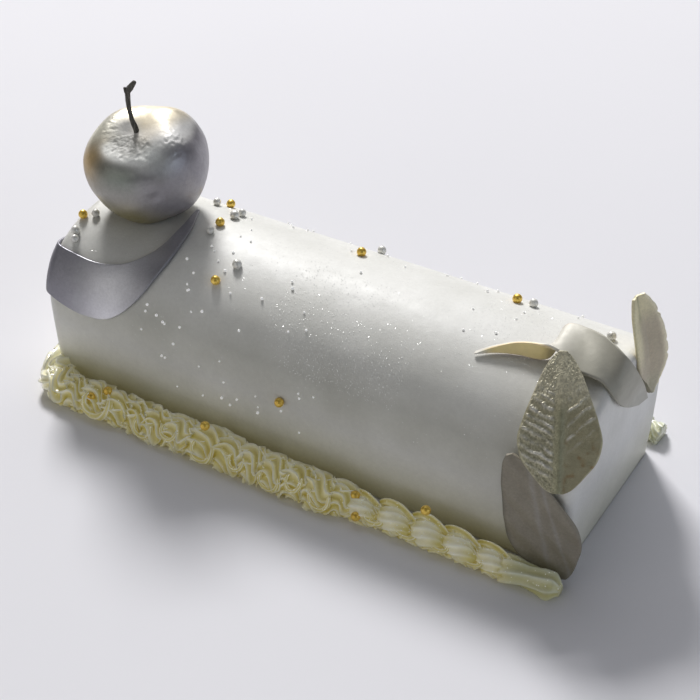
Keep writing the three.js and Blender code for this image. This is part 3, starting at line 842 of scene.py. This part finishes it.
# ---------------------------------------------------------------- piped border
def border_route(shares):
    """Points (x, y) and sideways directions along the border, from the rear free end."""
    bend_x = ROUTE_END + ROUTE_BEND
    bend_y = ROUTE_HALF - ROUTE_BEND
    arc = np.linspace(np.pi / 2, np.pi, 40)
    first = points_at(bend_x + ROUTE_BEND * np.cos(arc), bend_y + ROUTE_BEND * np.sin(arc))
    second = first[::-1] * [1, -1]
    rear = [(BORDER_END_X, ROUTE_HALF - 4), (BORDER_END_X - 30, ROUTE_HALF)]
    line = np.vstack([rear, first, second, [(BORDER_END_X, -ROUTE_HALF)]])
    line = evenly(line, ROUTE_STEPS)
    index = np.clip(shares * (ROUTE_STEPS - 1), 0, ROUTE_STEPS - 1).astype(int)
    heading = unit(np.gradient(line, axis=0))
    length = np.linalg.norm(np.diff(line, axis=0), axis=1).sum()
    return line[index], points_at(-heading[:, 1], heading[:, 0])[index], length


def lobes(place):
    """A run of piped lobes: each swells fast, tapers, and ends in a crease."""
    return np.sin(np.pi * (place % 1) ** 0.75) ** 0.7


def slimming(x):
    """How much thinner the front run gets towards its tail."""
    return 0.34 * ease(x, 26, 48) + 0.1 * ease(x, 85, 110)


def fullness(run, length):
    """The rope's share of its full thickness at a distance along the border."""
    return 0.62 + 0.38 * ease(run, 0, 45) - slimming(run - length + BORDER_END_X)


def ruffled_run():
    """The ruffled rope along the rear, the plain end and the front."""
    length = border_route(np.zeros(1))[2]
    last = 1 - TAIL_LENGTH / length
    share = np.linspace(0.004, last, int(length * last / RING_STEP))
    run = share * length
    line = points_at(run, 0, 0)
    beat = run / RUFFLE_PITCH + 0.4 * lumps(line, 31, 71)
    middle, sideways, _ = border_route(share)
    small = fullness(run, length)
    aside = (1.1 * lumps(line, 9, 75) - 0.6) * small
    height = (2.6 + 1.2 * lobes(beat) + 0.6 * lumps(line, 11, 72)) * small
    path = np.concatenate([middle + sideways * aside[:, None], height[:, None]], axis=1)
    angle = np.linspace(0, 2 * np.pi, RUFFLE_FINS * 7, endpoint=False)
    spot = points_at(run[:, None] / 15, angle * 1.5, 0)
    beats = beat[:, None] + 0.22 * lumps(spot, 1.3, 70)
    swell = lobes(beats)
    radii = RUFFLE_RADIUS * small[:, None] * (0.88 + 0.09 * swell + 0.08 * lumps(spot, 0.6, 73))

    def turn(distance, around):
        sway = RUFFLE_SWAY * (1 + 0.5 * lumps(spot, 1.4, 74))
        waves = np.sin(2 * np.pi * beats) + 0.2 * np.sin(4 * np.pi * beats + 1.2)
        return sway * waves + 0.25 * lumps(spot, 2.2, 77) + 0.05 * lumps(spot, 0.35, 78)

    return star_sweep(path, radii, RUFFLE_FINS, 0.26, turn, 0.7, 7, ruffle=0.14)


def core_run():
    """The plain cream inside the ruffles, which fills the gaps between the lobes."""
    share = np.linspace(0.012, 0.9, 220)
    middle, _, length = border_route(share)
    radii = CORE_RADIUS * fullness(share * length, length)
    return star_sweep(points_at(*middle.T, 2.0), radii, 8, 0.08, lambda run, angle: 0 * run, 1, 3)


def puff(x, size):
    """One swollen lobe of the right-hand run, whose ends sink into creases."""
    along = np.linspace(0, 1, 34)
    swell = np.sin(np.pi * np.clip(0.05 + 0.9 * along, 0, 1) ** 0.8) ** 0.6
    path = points_at(x - 7.5 + 15.5 * along, -ROUTE_HALF - 3.8 * along, 5.9 * size - 1.6 * along)
    rings, valley = star_sweep(
        path, 5.5 * size * swell, 7, 0.17, lambda run, angle: run / 8 + x, 0.9, 7, 0.92, 0.12,
    )
    # the second part is painted crease shade, strongest at the lobe's two ends
    return rings, np.clip(0.4 * valley + 1.5 * (1 - swell[:, None]) - 0.1, 0, 1)


def brow(x, size):
    """The thin upturned edge of cream behind one lobe of the right-hand run."""
    along = np.linspace(0, 1, 40)
    path = points_at(
        x - 10 + 20 * along,
        -ROUTE_HALF + 4.4 - 4.6 * along**2,
        (5.6 + 2.9 * np.sin(np.pi * along**0.75)) * size - 0.9 * along,
    )
    radii = 1.25 * size * np.sin(np.pi * (0.06 + 0.88 * along)) ** 0.5
    return star_sweep(path, radii, 4, 0.25, lambda run, angle: 0 * run, 1, 5, 2.4, 0.12)


def frill(ends, pitch, sway, aside, foot, top, seed):
    """A thin ribbon of cream on edge along the front run, which winds from side to side
    more at its top than at its foot."""
    x = np.linspace(*ends, int((ends[1] - ends[0]) / 0.45))
    line = points_at(x, 0, 0)
    phase = 2 * np.pi * (x / pitch + 0.3 * lumps(line, pitch * 1.6, seed))
    fade = (ease(x, ends[0], ends[0] + 6) * (1 - ease(x, ends[1] - 6, ends[1])))[:, None]
    up = np.array([0, 0.35, 0.7, 0.93, 1, 0.93, 0.7, 0.35, 0])
    side = np.array([-1.2, -1, -0.85, -0.6, 0, 0.6, 0.85, 1, 1.2]) * 0.62
    swing = sway * (0.35 + 0.65 * up) * np.sin(phase)[:, None]
    swing = swing + 0.5 * up * lumps(line, 3.1, seed + 1)[:, None]
    bow = min(0.22 * pitch, 2.0) * up * np.sin(2 * phase + 0.5)[:, None] * fade
    slope = np.gradient(swing[:, 4], x)[:, None]
    across = side / np.sqrt(1 + slope**2)
    height = foot + (top - foot) * up * (0.55 + 0.45 * fade)
    rings = points_at(
        x[:, None] + bow * 0.5 - slope * across,
        -ROUTE_HALF + aside - 1.6 * up + swing * fade + across,
        height + 0.7 * up * lumps(line, 4.3, seed + 2)[:, None],
    )
    # the second part is painted shade, strongest at the frill's foot
    return rings, np.broadcast_to(0.9 * (1 - up), rings.shape[:2])


def loop(x, width, foot, reach, size):
    """A thin U of cream that lies over the ruffles. Its foot and reach are angles round
    the border, in degrees from the outward side."""
    swing = np.radians(np.linspace(-118, 118, 46))
    around = np.radians(foot + reach * (1 - np.cos(swing)))
    spread = RUFFLE_RADIUS * (1 - slimming(x)) - 0.4
    path = points_at(
        x + width / 2 * np.sin(swing),
        -ROUTE_HALF - spread * np.cos(around),
        3.2 + spread * np.sin(around),
    )
    radii = size * (0.35 + 0.65 * np.cos(swing / 1.4) ** 0.5)
    return star_sweep(path, radii, 5, 0.2, lambda run, angle: run / 9, 0.8, 4, ruffle=0.1)


def rosette(x, y, size):
    """A swirl of cream that ends in a point."""
    swirl = np.linspace(0, 1, 90)
    turns = 2 * np.pi * 1.7 * swirl
    spread = size * (0.55 - 0.5 * swirl)
    path = points_at(x + spread * np.cos(turns), y + spread * np.sin(turns), 3.4 + 7.0 * swirl)
    radii = size * (0.55 - 0.42 * swirl**1.5)
    return star_sweep(path, radii, 7, 0.32, lambda run, angle: run / 14, 0.7, 6, ruffle=0.12)


def tail():
    """The smooth end of the front run, where the nozzle was drawn away."""
    along = np.linspace(0, 1, 30)
    start = BORDER_END_X - TAIL_LENGTH - 4
    y = -ROUTE_HALF - 0.5 + 0.4 * np.sin(4 * along)
    swell = 1.02 + 0.06 * np.sin(9 * along + 0.6) - 0.04 * along
    radii = TAIL_RADIUS * swell * np.sqrt(1 - 0.8 * ease(along, 0.8, 1) ** 2)
    rings, valley = star_sweep(
        points_at(start + (TAIL_LENGTH + 4) * along, y, 3.0), radii, 7, 0.22,
        lambda run, angle: 0.5 + run / 26, 0.8, 10, 0.88, 0.07,
    )
    # the second part is painted crease shade
    return rings, 0.15 + 0.5 * valley


def roughened(rings):
    """Rings of cream made a little uneven, and drawn in where they would pass the floor."""
    flat = rings.reshape(-1, 3)
    centre = np.repeat(rings.mean(axis=1), rings.shape[1], axis=0)
    rough = 0.2 * lumps(flat, 2.4, 80, 2) + 0.08 * lumps(flat, 0.9, 82)
    flat = flat + unit(flat - centre) * rough[:, None]
    below = flat[:, 2] < ON_FLOOR
    reach = (centre[:, 2] - ON_FLOOR) / np.maximum(centre[:, 2] - flat[:, 2], 1e-6)
    flat = np.where(below[:, None], centre + (flat - centre) * reach[:, None], flat)
    return flat.reshape(rings.shape)


def make_border(material):
    parts = [core_run(), ruffled_run(), tail(), rosette(*CORNER_ROSETTE)]
    for form, rows in ((puff, PUFFS), (brow, PUFFS), (frill, FRILLS), (loop, LOOPS)):
        parts += [form(*row) for row in rows]
    points, faces = joined([closed_rings(roughened(rings)) for rings, _ in parts])
    low, high = np.array(cad_box) / MM
    points = np.clip(points, low + 0.05, high - 0.05)
    # painted shade: darker and yellower in the valleys between the fins, and more so near the floor
    deep = np.concatenate([np.append(valley.ravel(), [0.5, 0.5]) for _, valley in parts])
    deep = np.clip(deep + 0.25 * (1 - ease(points[:, 2], 0, 9)), 0, 1)
    # the painted crease shade is full on the front run, which lies in the log's shadow, and weaker
    # where the lamp reaches the cream
    front = (1 - ease(points[:, 1], -46, -38)) * ease(points[:, 0], -122, -110)
    deep = deep * (0.4 + 0.6 * front)
    paint = np.array(CREAM_RIDGE) + (np.array(CREAM_CREASE_SHADE) - CREAM_RIDGE) * deep[:, None]
    # painted shade: the tail is darker
    paint = paint * (1 - np.array(TAIL_SHADE) * ease(points[:, :1], 104, 114))
    return make_piece(
        "ruffled_border", points, faces, material, "piped_cream", ["piped_border"], paint,
    )


# ---------------------------------------------------------------- sugar and glitter
GOLD_BEADS = [
    (-122.6, -18.2, 69.9), (-75, 25, 66), (-64.8, 4, 72), (-44.9, -26.9, 66.5),
    (-1.3, 17, 70.2), (-2.6, -44.1, 32.7), (70, 20, 69),
]
PEARL_BEADS = [
    (-117.7, -15.5, 70.6), (-124, 14, 69), (-120.5, -26.3, 66.8), (-118.4, -29.5, 65.1),
    (-79.5, 21.5, 68.9), (-63.9, 13.4, 71), (-63.1, 17.9, 70), (-64.4, -3.6, 72),
    (-40.8, -17.2, 70.2), (1, 29.7, 64.9), (76.9, 20.9, 69.1), (113.7, 13.1, 71.1),
]
BORDER_BEADS = [
    (-93.5, -58.5, 8), (-88, -53, 9.8), (-36.5, -50.2, 10.5),
    (40, -56, 9.5), (45, -64, 6.5), (67, -48.2, 10.5),
]
SUGAR_GROUPS = [                 # count, range along X, range of angles from the front
    (36, (-75, 15), (-8, 70)), (22, (-110, -40), (20, 110)),
    (24, (-60, 110), (70, 150)), (20, (-110, 100), (120, 185)),
]
GLITTER_GROUPS = [
    (1500, (-15, 50), (25, 90)), (800, (60, 108), (60, 110)),
    (1100, (-124, 124), (0, 180)), (500, (-124, 60), (60, 130)),
]
CRYSTAL_COUNT = 1500             # of coarse sugar on the cream
APPLE_CLEAR, BAND_CLEAR = 24, 2.5     # from the apple's axis and from the band's edges


def clear_of_toppings(places):
    """True where no apple, band or curl covers the glaze."""
    clear = np.linalg.norm(places[:, :2] - APPLE_CENTRE[:2], axis=1) > APPLE_CLEAR
    for line in (BAND_UPPER, BAND_LOWER):
        spine = through(line, np.linspace(0, 1, 60))
        clear &= np.linalg.norm(places[:, None] - spine[None], axis=2).min(axis=1) > BAND_CLEAR
    return clear & ~((places[:, 0] > 96) & (places[:, 1] > -22) & (places[:, 1] < 10))


def scattered(groups):
    """Random bare places on the glaze, in groups of a count, a range along X, and a range
    of angles, 0 at the front and 90 on top."""
    spots = []
    for count, x_range, angle_range in groups:
        x = rng.uniform(*x_range, count)
        angle = np.radians(rng.uniform(*angle_range, count))
        found = on_glaze(points_at(x, -60 * np.cos(angle), 25 + 60 * np.sin(angle)))
        spots.append(found[clear_of_toppings(found)])
    return np.vstack(spots)


def pressed_in(places, surface, depth):
    """Beads moved back from the front, above, until they stand `depth` off the surface."""
    towards = np.array([0.425, -0.69, 0.585])
    seated = []
    for place in places:
        close = surface[np.linalg.norm(surface - place, axis=1) < 22]
        steps = place + towards * np.arange(14, -14, -0.25)[:, None]
        gaps = np.linalg.norm(steps[:, None] - close[None], axis=2).min(axis=1)
        seated.append(steps[np.argmax(gaps < depth)])
    return np.array(seated)


def numbers_of(items, attribute):
    """An attribute of three numbers, read from every item of a mesh."""
    numbers = np.empty(len(items) * 3)
    items.foreach_get(attribute, numbers)
    return numbers.reshape(-1, 3)


def make_sugar(gold, pearl, white, flake, sugar, border):
    cream = numbers_of(border.data.vertices, "co") / MM
    places = np.vstack([
        on_glaze(np.array(GOLD_BEADS, float), 1.5),
        pressed_in(np.array(BORDER_BEADS, float), cream, 0.5),
    ])
    radii = np.full(len(places), 2.05)
    make_piece("gold_beads", *beads(places, radii, 15, 28, 0.03), gold, "piped_cream")
    places = on_glaze(np.array(PEARL_BEADS, float), 1.5)
    radii = rng.uniform(1.75, 2.15, len(places))
    make_piece("pearl_beads", *beads(places, radii, 15, 28, 0.04), pearl, "satin_glaze")

    places = scattered(SUGAR_GROUPS)
    places = places[places[:, 2] > 13]
    radii = rng.uniform(0.4, 0.68, len(places))
    places = places + glaze_normal(places) * radii[:, None] * 0.6
    make_piece("sugar_pearls", *beads(places, radii, 7, 12, 0.08), white, "satin_glaze")

    places = scattered(GLITTER_GROUPS)
    normals = unit(glaze_normal(places) + rng.normal(scale=0.12, size=places.shape))
    points, faces = crystals(places + normals * 0.06, normals, rng.uniform(0.1, 0.26, len(places)), 0.3)
    make_piece("glitter", points, faces, flake, "satin_glaze", smooth=False)

    middle = numbers_of(border.data.polygons, "center") / MM
    normal = numbers_of(border.data.polygons, "normal")
    shown = (normal[:, 2] > 0.1) & (glaze_distance(middle) > 0.6) & (middle[:, 2] > 2)
    shown &= middle[:, 0] > cad_box[0][0] / MM + 0.6
    picked = rng.choice(np.flatnonzero(shown), CRYSTAL_COUNT, replace=False)
    places, normals = middle[picked] + normal[picked] * 0.08, normal[picked]
    points, faces = crystals(places, normals, rng.uniform(0.14, 0.34, CRYSTAL_COUNT), 0.9)
    make_piece("sugar_crystals", points, faces, sugar, "piped_cream", smooth=False)


# ---------------------------------------------------------------- materials
WHITE = (1.0, 1.0, 1.0)


class Finish:
    """A Principled material that is built up node by node. Sizes are in millimetres."""

    def __init__(self, name, **sockets):
        self.material = bpy.data.materials.new(name)
        self.material.use_nodes = True
        self.tree = self.material.node_tree
        self.shader = self.tree.nodes["Principled BSDF"]
        self.place = self.add("ShaderNodeTexCoord").outputs["Object"]
        for socket, value in sockets.items():
            self.set(socket.replace("_", " "), value)

    def feed(self, socket, value):
        """A value, a colour or another node's output, put into a socket."""
        if isinstance(value, bpy.types.NodeSocket):
            self.tree.links.new(value, socket)
        elif socket.type == "RGBA":
            socket.default_value = (*value[:3], 1)
        else:
            socket.default_value = value

    def add(self, kind, inputs=None, **settings):
        node = self.tree.nodes.new(kind)
        for name, value in settings.items():
            setattr(node, name, value)
        for socket, value in (inputs or {}).items():
            self.feed(node.inputs[socket], value)
        return node

    def set(self, socket, value):
        """A value or another node's output, put into one of the shader's sockets."""
        names = {name.lower(): name for name in self.shader.inputs.keys()}
        self.feed(self.shader.inputs[names[socket.lower()]], value)

    def noise(self, size, detail, roughness=0.55, stretch=None):
        place = self.place
        if stretch:
            inputs = {"Scale": stretch, "Vector": place}
            place = self.add("ShaderNodeMapping", inputs).outputs["Vector"]
        return self.add("ShaderNodeTexNoise", {
            "Scale": 1 / (size * MM), "Detail": detail, "Roughness": roughness, "Vector": place,
        }).outputs["Fac"]

    def cells(self, size):
        inputs = {"Scale": 1 / (size * MM), "Vector": self.place}
        return self.add("ShaderNodeTexVoronoi", inputs).outputs["Distance"]

    def ramp(self, source, *stops):
        """Colours (or greys) over a range of a node's output."""
        node = self.add("ShaderNodeValToRGB", {"Fac": source})
        while len(node.color_ramp.elements) < len(stops):
            node.color_ramp.elements.new(0.5)
        for element, (position, colour) in zip(node.color_ramp.elements, stops):
            element.position = position
            grey = isinstance(colour, (int, float))
            element.color = (colour, colour, colour, 1) if grey else (*colour, 1)
        return node.outputs["Color"]

    def mottle(self, size, detail, low, high, roughness=0.55):
        """Noise from a low to a high colour or grey."""
        return self.ramp(self.noise(size, detail, roughness), (0.3, low), (0.7, high))

    def blend(self, a, b, share=1.0, mode="MULTIPLY"):
        node = self.add("ShaderNodeMix", data_type="RGBA", blend_type=mode)
        colour_a, colour_b = [socket for socket in node.inputs if socket.type == "RGBA"]
        for socket, value in ((node.inputs[0], share), (colour_a, a), (colour_b, b)):
            self.feed(socket, value)
        return next(socket for socket in node.outputs if socket.type == "RGBA")

    def paint(self):
        return self.add("ShaderNodeAttribute", attribute_name="paint").outputs["Color"]

    def height(self):
        """The height above the floor, in metres."""
        return self.add("ShaderNodeSeparateXYZ", {"Vector": self.place}).outputs["Z"]

    def away_from(self, place):
        """The distance in metres from a place given in millimetres."""
        inputs = {0: self.place, 1: [value * MM for value in place]}
        return self.add("ShaderNodeVectorMath", inputs, operation="DISTANCE").outputs["Value"]

    def between(self, source, low, high):
        """0 where the source is at low and 1 where it is at high."""
        inputs = {"From Min": low, "From Max": high, "Value": source}
        return self.add("ShaderNodeMapRange", inputs).outputs["Result"]

    def bumps(self, *layers):
        """Bump from several (height output, depth in mm) layers, coarse ones first."""
        normal = {}
        for source, depth in layers:
            inputs = {"Distance": depth * MM, "Height": source, **normal}
            normal = {"Normal": self.add("ShaderNodeBump", inputs).outputs["Normal"]}
        self.set("Normal", normal["Normal"])


def glaze_finish():
    f = Finish("satin_glaze", ior=1.38, coat_weight=0.08, coat_roughness=0.35)
    cloud = f.mottle(26, 4, (0.81, 0.805, 0.76), (0.93, 0.925, 0.89))
    fine = f.mottle(1.6, 4, 0.93, 1.0, 0.7)
    # painted warm shade: the glaze is yellower towards its foot, beside the cream
    foot = f.ramp(f.between(f.height(), 0.004, 0.030), (0.0, (1.0, 0.99, 0.88)), (1.0, WHITE))
    f.set("Base Color", f.blend(f.blend(f.blend(cloud, fine), foot), f.paint()))
    f.set("Roughness", f.mottle(9, 4, 0.42, 0.52))
    f.bumps((f.noise(5, 4), 0.12), (f.cells(0.5), 0.02))
    return f.material


def cream_finish():
    # the cream glows faintly: painted light standing in for light scattered inside it, dimmer in its
    # yellow creases
    f = Finish(
        "piped_cream", ior=1.45, roughness=0.3, subsurface_weight=0.12,
        subsurface_radius=(1.0, 0.85, 0.5), subsurface_scale=0.001, coat_weight=0.6,
        coat_roughness=0.15, emission_strength=0.08,
    )
    tone = f.mottle(7, 4, (0.98, 0.97, 0.90), WHITE)
    colour = f.blend(f.blend(f.paint(), tone), f.mottle(0.9, 3, 0.96, 1.0))
    f.set("Base Color", colour)
    # painted glow, in the square of the cream's colour
    f.set("Emission Color", f.blend(colour, colour))
    f.bumps((f.noise(2.2, 4), 0.2), (f.noise(0.5, 3), 0.06))
    return f.material


def silver_finish():
    f = Finish("silver_lustre", ior=1.5, coat_weight=0.1, coat_roughness=0.3)
    tone = f.blend(f.paint(), f.mottle(1.5, 5, 0.85, 1.0, 0.7))
    specks = f.ramp(f.cells(0.9), (0.05, 0.45), (0.16, 1.0))
    rare = f.ramp(f.noise(6, 2), (0.5, 0.0), (0.68, 1.0))
    f.set("Base Color", f.blend(tone, specks, rare))
    outer = f.between(f.away_from((-97, -9.5, 112)), 0.011, 0.017)
    f.set("Metallic", f.ramp(outer, (0.0, 0.08), (1.0, 0.5)))
    dull = f.ramp(outer, (0.0, 0.3), (1.0, 0.0))
    f.set("Roughness", f.blend(f.mottle(4, 4, 0.30, 0.46), dull, mode="ADD"))
    f.bumps((f.noise(3, 4), 0.16), (f.noise(0.6, 4, 0.7), 0.05))
    return f.material


def bark_finish():
    f = Finish("bark", roughness=0.8, ior=1.4)
    grain = f.noise(0.7, 5, 0.7, (1, 1, 0.25))
    f.set("Base Color", f.ramp(
        grain, (0.25, (0.030, 0.027, 0.024)), (0.5, (0.085, 0.080, 0.070)),
        (0.75, (0.20, 0.19, 0.165)),
    ))
    f.bumps((grain, 0.3))
    return f.material


def painted_finish(name, metallic, ior, fine, rough, *bumps):
    """A lustre whose colour is the mesh's paint. `fine` and `rough` are mottles, of its
    tone and its roughness; a bump is a size, a detail (0 for cells) and a depth."""
    f = Finish(name, metallic=metallic, ior=ior)
    f.set("Base Color", f.blend(f.paint(), f.mottle(*fine)))
    f.set("Roughness", f.mottle(*rough))
    f.bumps(*(
        (f.noise(size, detail) if detail else f.cells(size), depth)
        for size, detail, depth in bumps
    ))
    return f.material


def leaf_finish(name, metallic, low, high, grit):
    fine, rough = (1.0, 5, 0.8, 1.0, 0.7), (1.4, 4, low, high)
    return painted_finish(name, metallic, 1.5, fine, rough, (1.8, 4, 0.12), (0.5, 0, grit))


def bead_finish(name, dark, light, metallic, low, high, painted_glow=0.0):
    # the glow is painted light: the bead shines faintly of itself
    f = Finish(
        name, metallic=metallic, ior=1.5, coat_weight=0.4, coat_roughness=0.12,
        emission_color=(1.0, 1.0, 0.98), emission_strength=painted_glow,
    )
    f.set("Base Color", f.mottle(1.6, 4, dark, light))
    f.set("Roughness", f.mottle(0.8, 3, low, high))
    f.bumps((f.noise(0.6, 3), 0.03))
    return f.material


def floor_finish():
    f = Finish("pale_floor", roughness=0.9)
    f.set("Base Color", f.mottle(400, 2, FLOOR_DARK, FLOOR_LIGHT))
    return f.material


# ---------------------------------------------------------------- camera and light
FLOOR_DARK = (0.80, 0.795, 0.835)
FLOOR_LIGHT = (0.82, 0.815, 0.855)
FLOOR_HALF = 6                   # metres, as the lamps' places are
FLOOR_TOP = -0.0002
SQUARE = [(-1, -1), (1, -1), (1, 1), (-1, 1)]
WORLD_COLOUR = (0.80, 0.80, 0.84, 1)
WORLD_STRENGTH = 0.10
LAMPS = [                        # name, place, target, size, power and colour
    ("key", (-2.91, 3.23, 3.81), (0, 0, 0.04), (1.3, 1.3), 305, (1.0, 0.99, 0.98)),
    ("back_soft", (-0.5, 1.1, 1.6), (0, 0, 0), (2.0, 2.0), 11, WHITE),
    ("end_fill", (1.3, -0.1, 0.5), (0.1, 0, 0.04), (0.8, 0.8), 2.4, (0.75, 0.85, 1.0)),
    ("front_fill", (-0.6, -1.35, 0.62), (-0.02, 0, 0.01), (1.6, 1.2), 3.5, (1.0, 0.99, 0.95)),
]

CAMERA_PLACE = (268.17, -429.53, 397.33)
CAMERA_AZIMUTH, CAMERA_ELEVATION, CAMERA_ROLL = 31.65, 35.82, -0.33      # degrees
CAMERA_LENS = 74.9


def make_camera():
    data = bpy.data.cameras.new("camera")
    data.lens, data.sensor_width = CAMERA_LENS, 36
    data.clip_start, data.clip_end = 0.01, 50
    camera = placed("camera", data)
    aim = Matrix.Translation(Vector(CAMERA_PLACE) * MM)
    for angle, axis in ((CAMERA_AZIMUTH, "Z"), (90 - CAMERA_ELEVATION, "X"), (CAMERA_ROLL, "Z")):
        aim = aim @ Matrix.Rotation(math.radians(angle), 4, axis)
    camera.matrix_world = aim
    bpy.context.scene.camera = camera


def make_light(name, place, target, size, power, colour):
    light = bpy.data.lights.new(name, "AREA")
    light.shape = "RECTANGLE"
    light.size, light.size_y = size
    light.energy = power
    light.color = colour
    lamp = placed(name, light)
    lamp.location = place
    lamp.rotation_euler = (Vector(target) - Vector(place)).to_track_quat("-Z", "Y").to_euler()


def make_studio():
    world = bpy.data.worlds.new("studio")
    bpy.context.scene.world = world
    world.use_nodes = True
    background = world.node_tree.nodes["Background"]
    background.inputs["Color"].default_value = WORLD_COLOUR
    background.inputs["Strength"].default_value = WORLD_STRENGTH
    for lamp in LAMPS:
        make_light(*lamp)
    mesh = bpy.data.meshes.new("floor")
    corners = [(x * FLOOR_HALF, y * FLOOR_HALF, FLOOR_TOP) for x, y in SQUARE]
    mesh.from_pydata(corners, [], [(0, 1, 2, 3)])
    mesh.materials.append(floor_finish())
    placed("floor", mesh)


bpy.context.scene.view_settings.view_transform = "Standard"
make_camera()
make_studio()

make_log(glaze_finish())
border = make_border(cream_finish())
make_apple(silver_finish())
make_stalk(bark_finish())
make_band(painted_finish(
    "lilac_lustre", 0.55, 1.5, (1.1, 4, 0.86, 1.0, 0.7), (3, 4, 0.34, 0.5),
    (2.5, 3, 0.1), (0.4, 0, 0.03),
))
make_curl(painted_finish(
    "ivory_strip", 0.1, 1.4, (2.5, 4, 0.92, 1.0), (3, 3, 0.48, 0.6),
    (4, 4, 0.08), (0.5, 3, 0.02),
))
make_leaves(
    leaf_finish("olive_lustre", 0.35, 0.34, 0.52, 0.12),
    leaf_finish("taupe_lustre", 0.2, 0.48, 0.62, 0.03),
    leaf_finish("cream_lustre", 0.15, 0.42, 0.56, 0.03),
)
make_sugar(
    bead_finish("gold_bead", (0.82, 0.50, 0.06), (0.95, 0.69, 0.14), 0.55, 0.25, 0.4),
    bead_finish("pearl_bead", (0.74, 0.73, 0.66), (0.90, 0.89, 0.86), 0.2, 0.25, 0.4),
    # white sugar, glitter and crystals glow faintly: painted light
    bead_finish("white_sugar", (0.93, 0.93, 0.92), (0.99, 0.99, 0.98), 0.0, 0.3, 0.45, 0.22),
    bead_finish("glitter_flake", (0.80, 0.80, 0.78), (0.98, 0.98, 0.96), 0.3, 0.15, 0.3, 0.15),
    bead_finish("sugar_crystal", (0.94, 0.93, 0.86), (0.99, 0.99, 0.96), 0.0, 0.1, 0.2, 0.15),
    border,
)
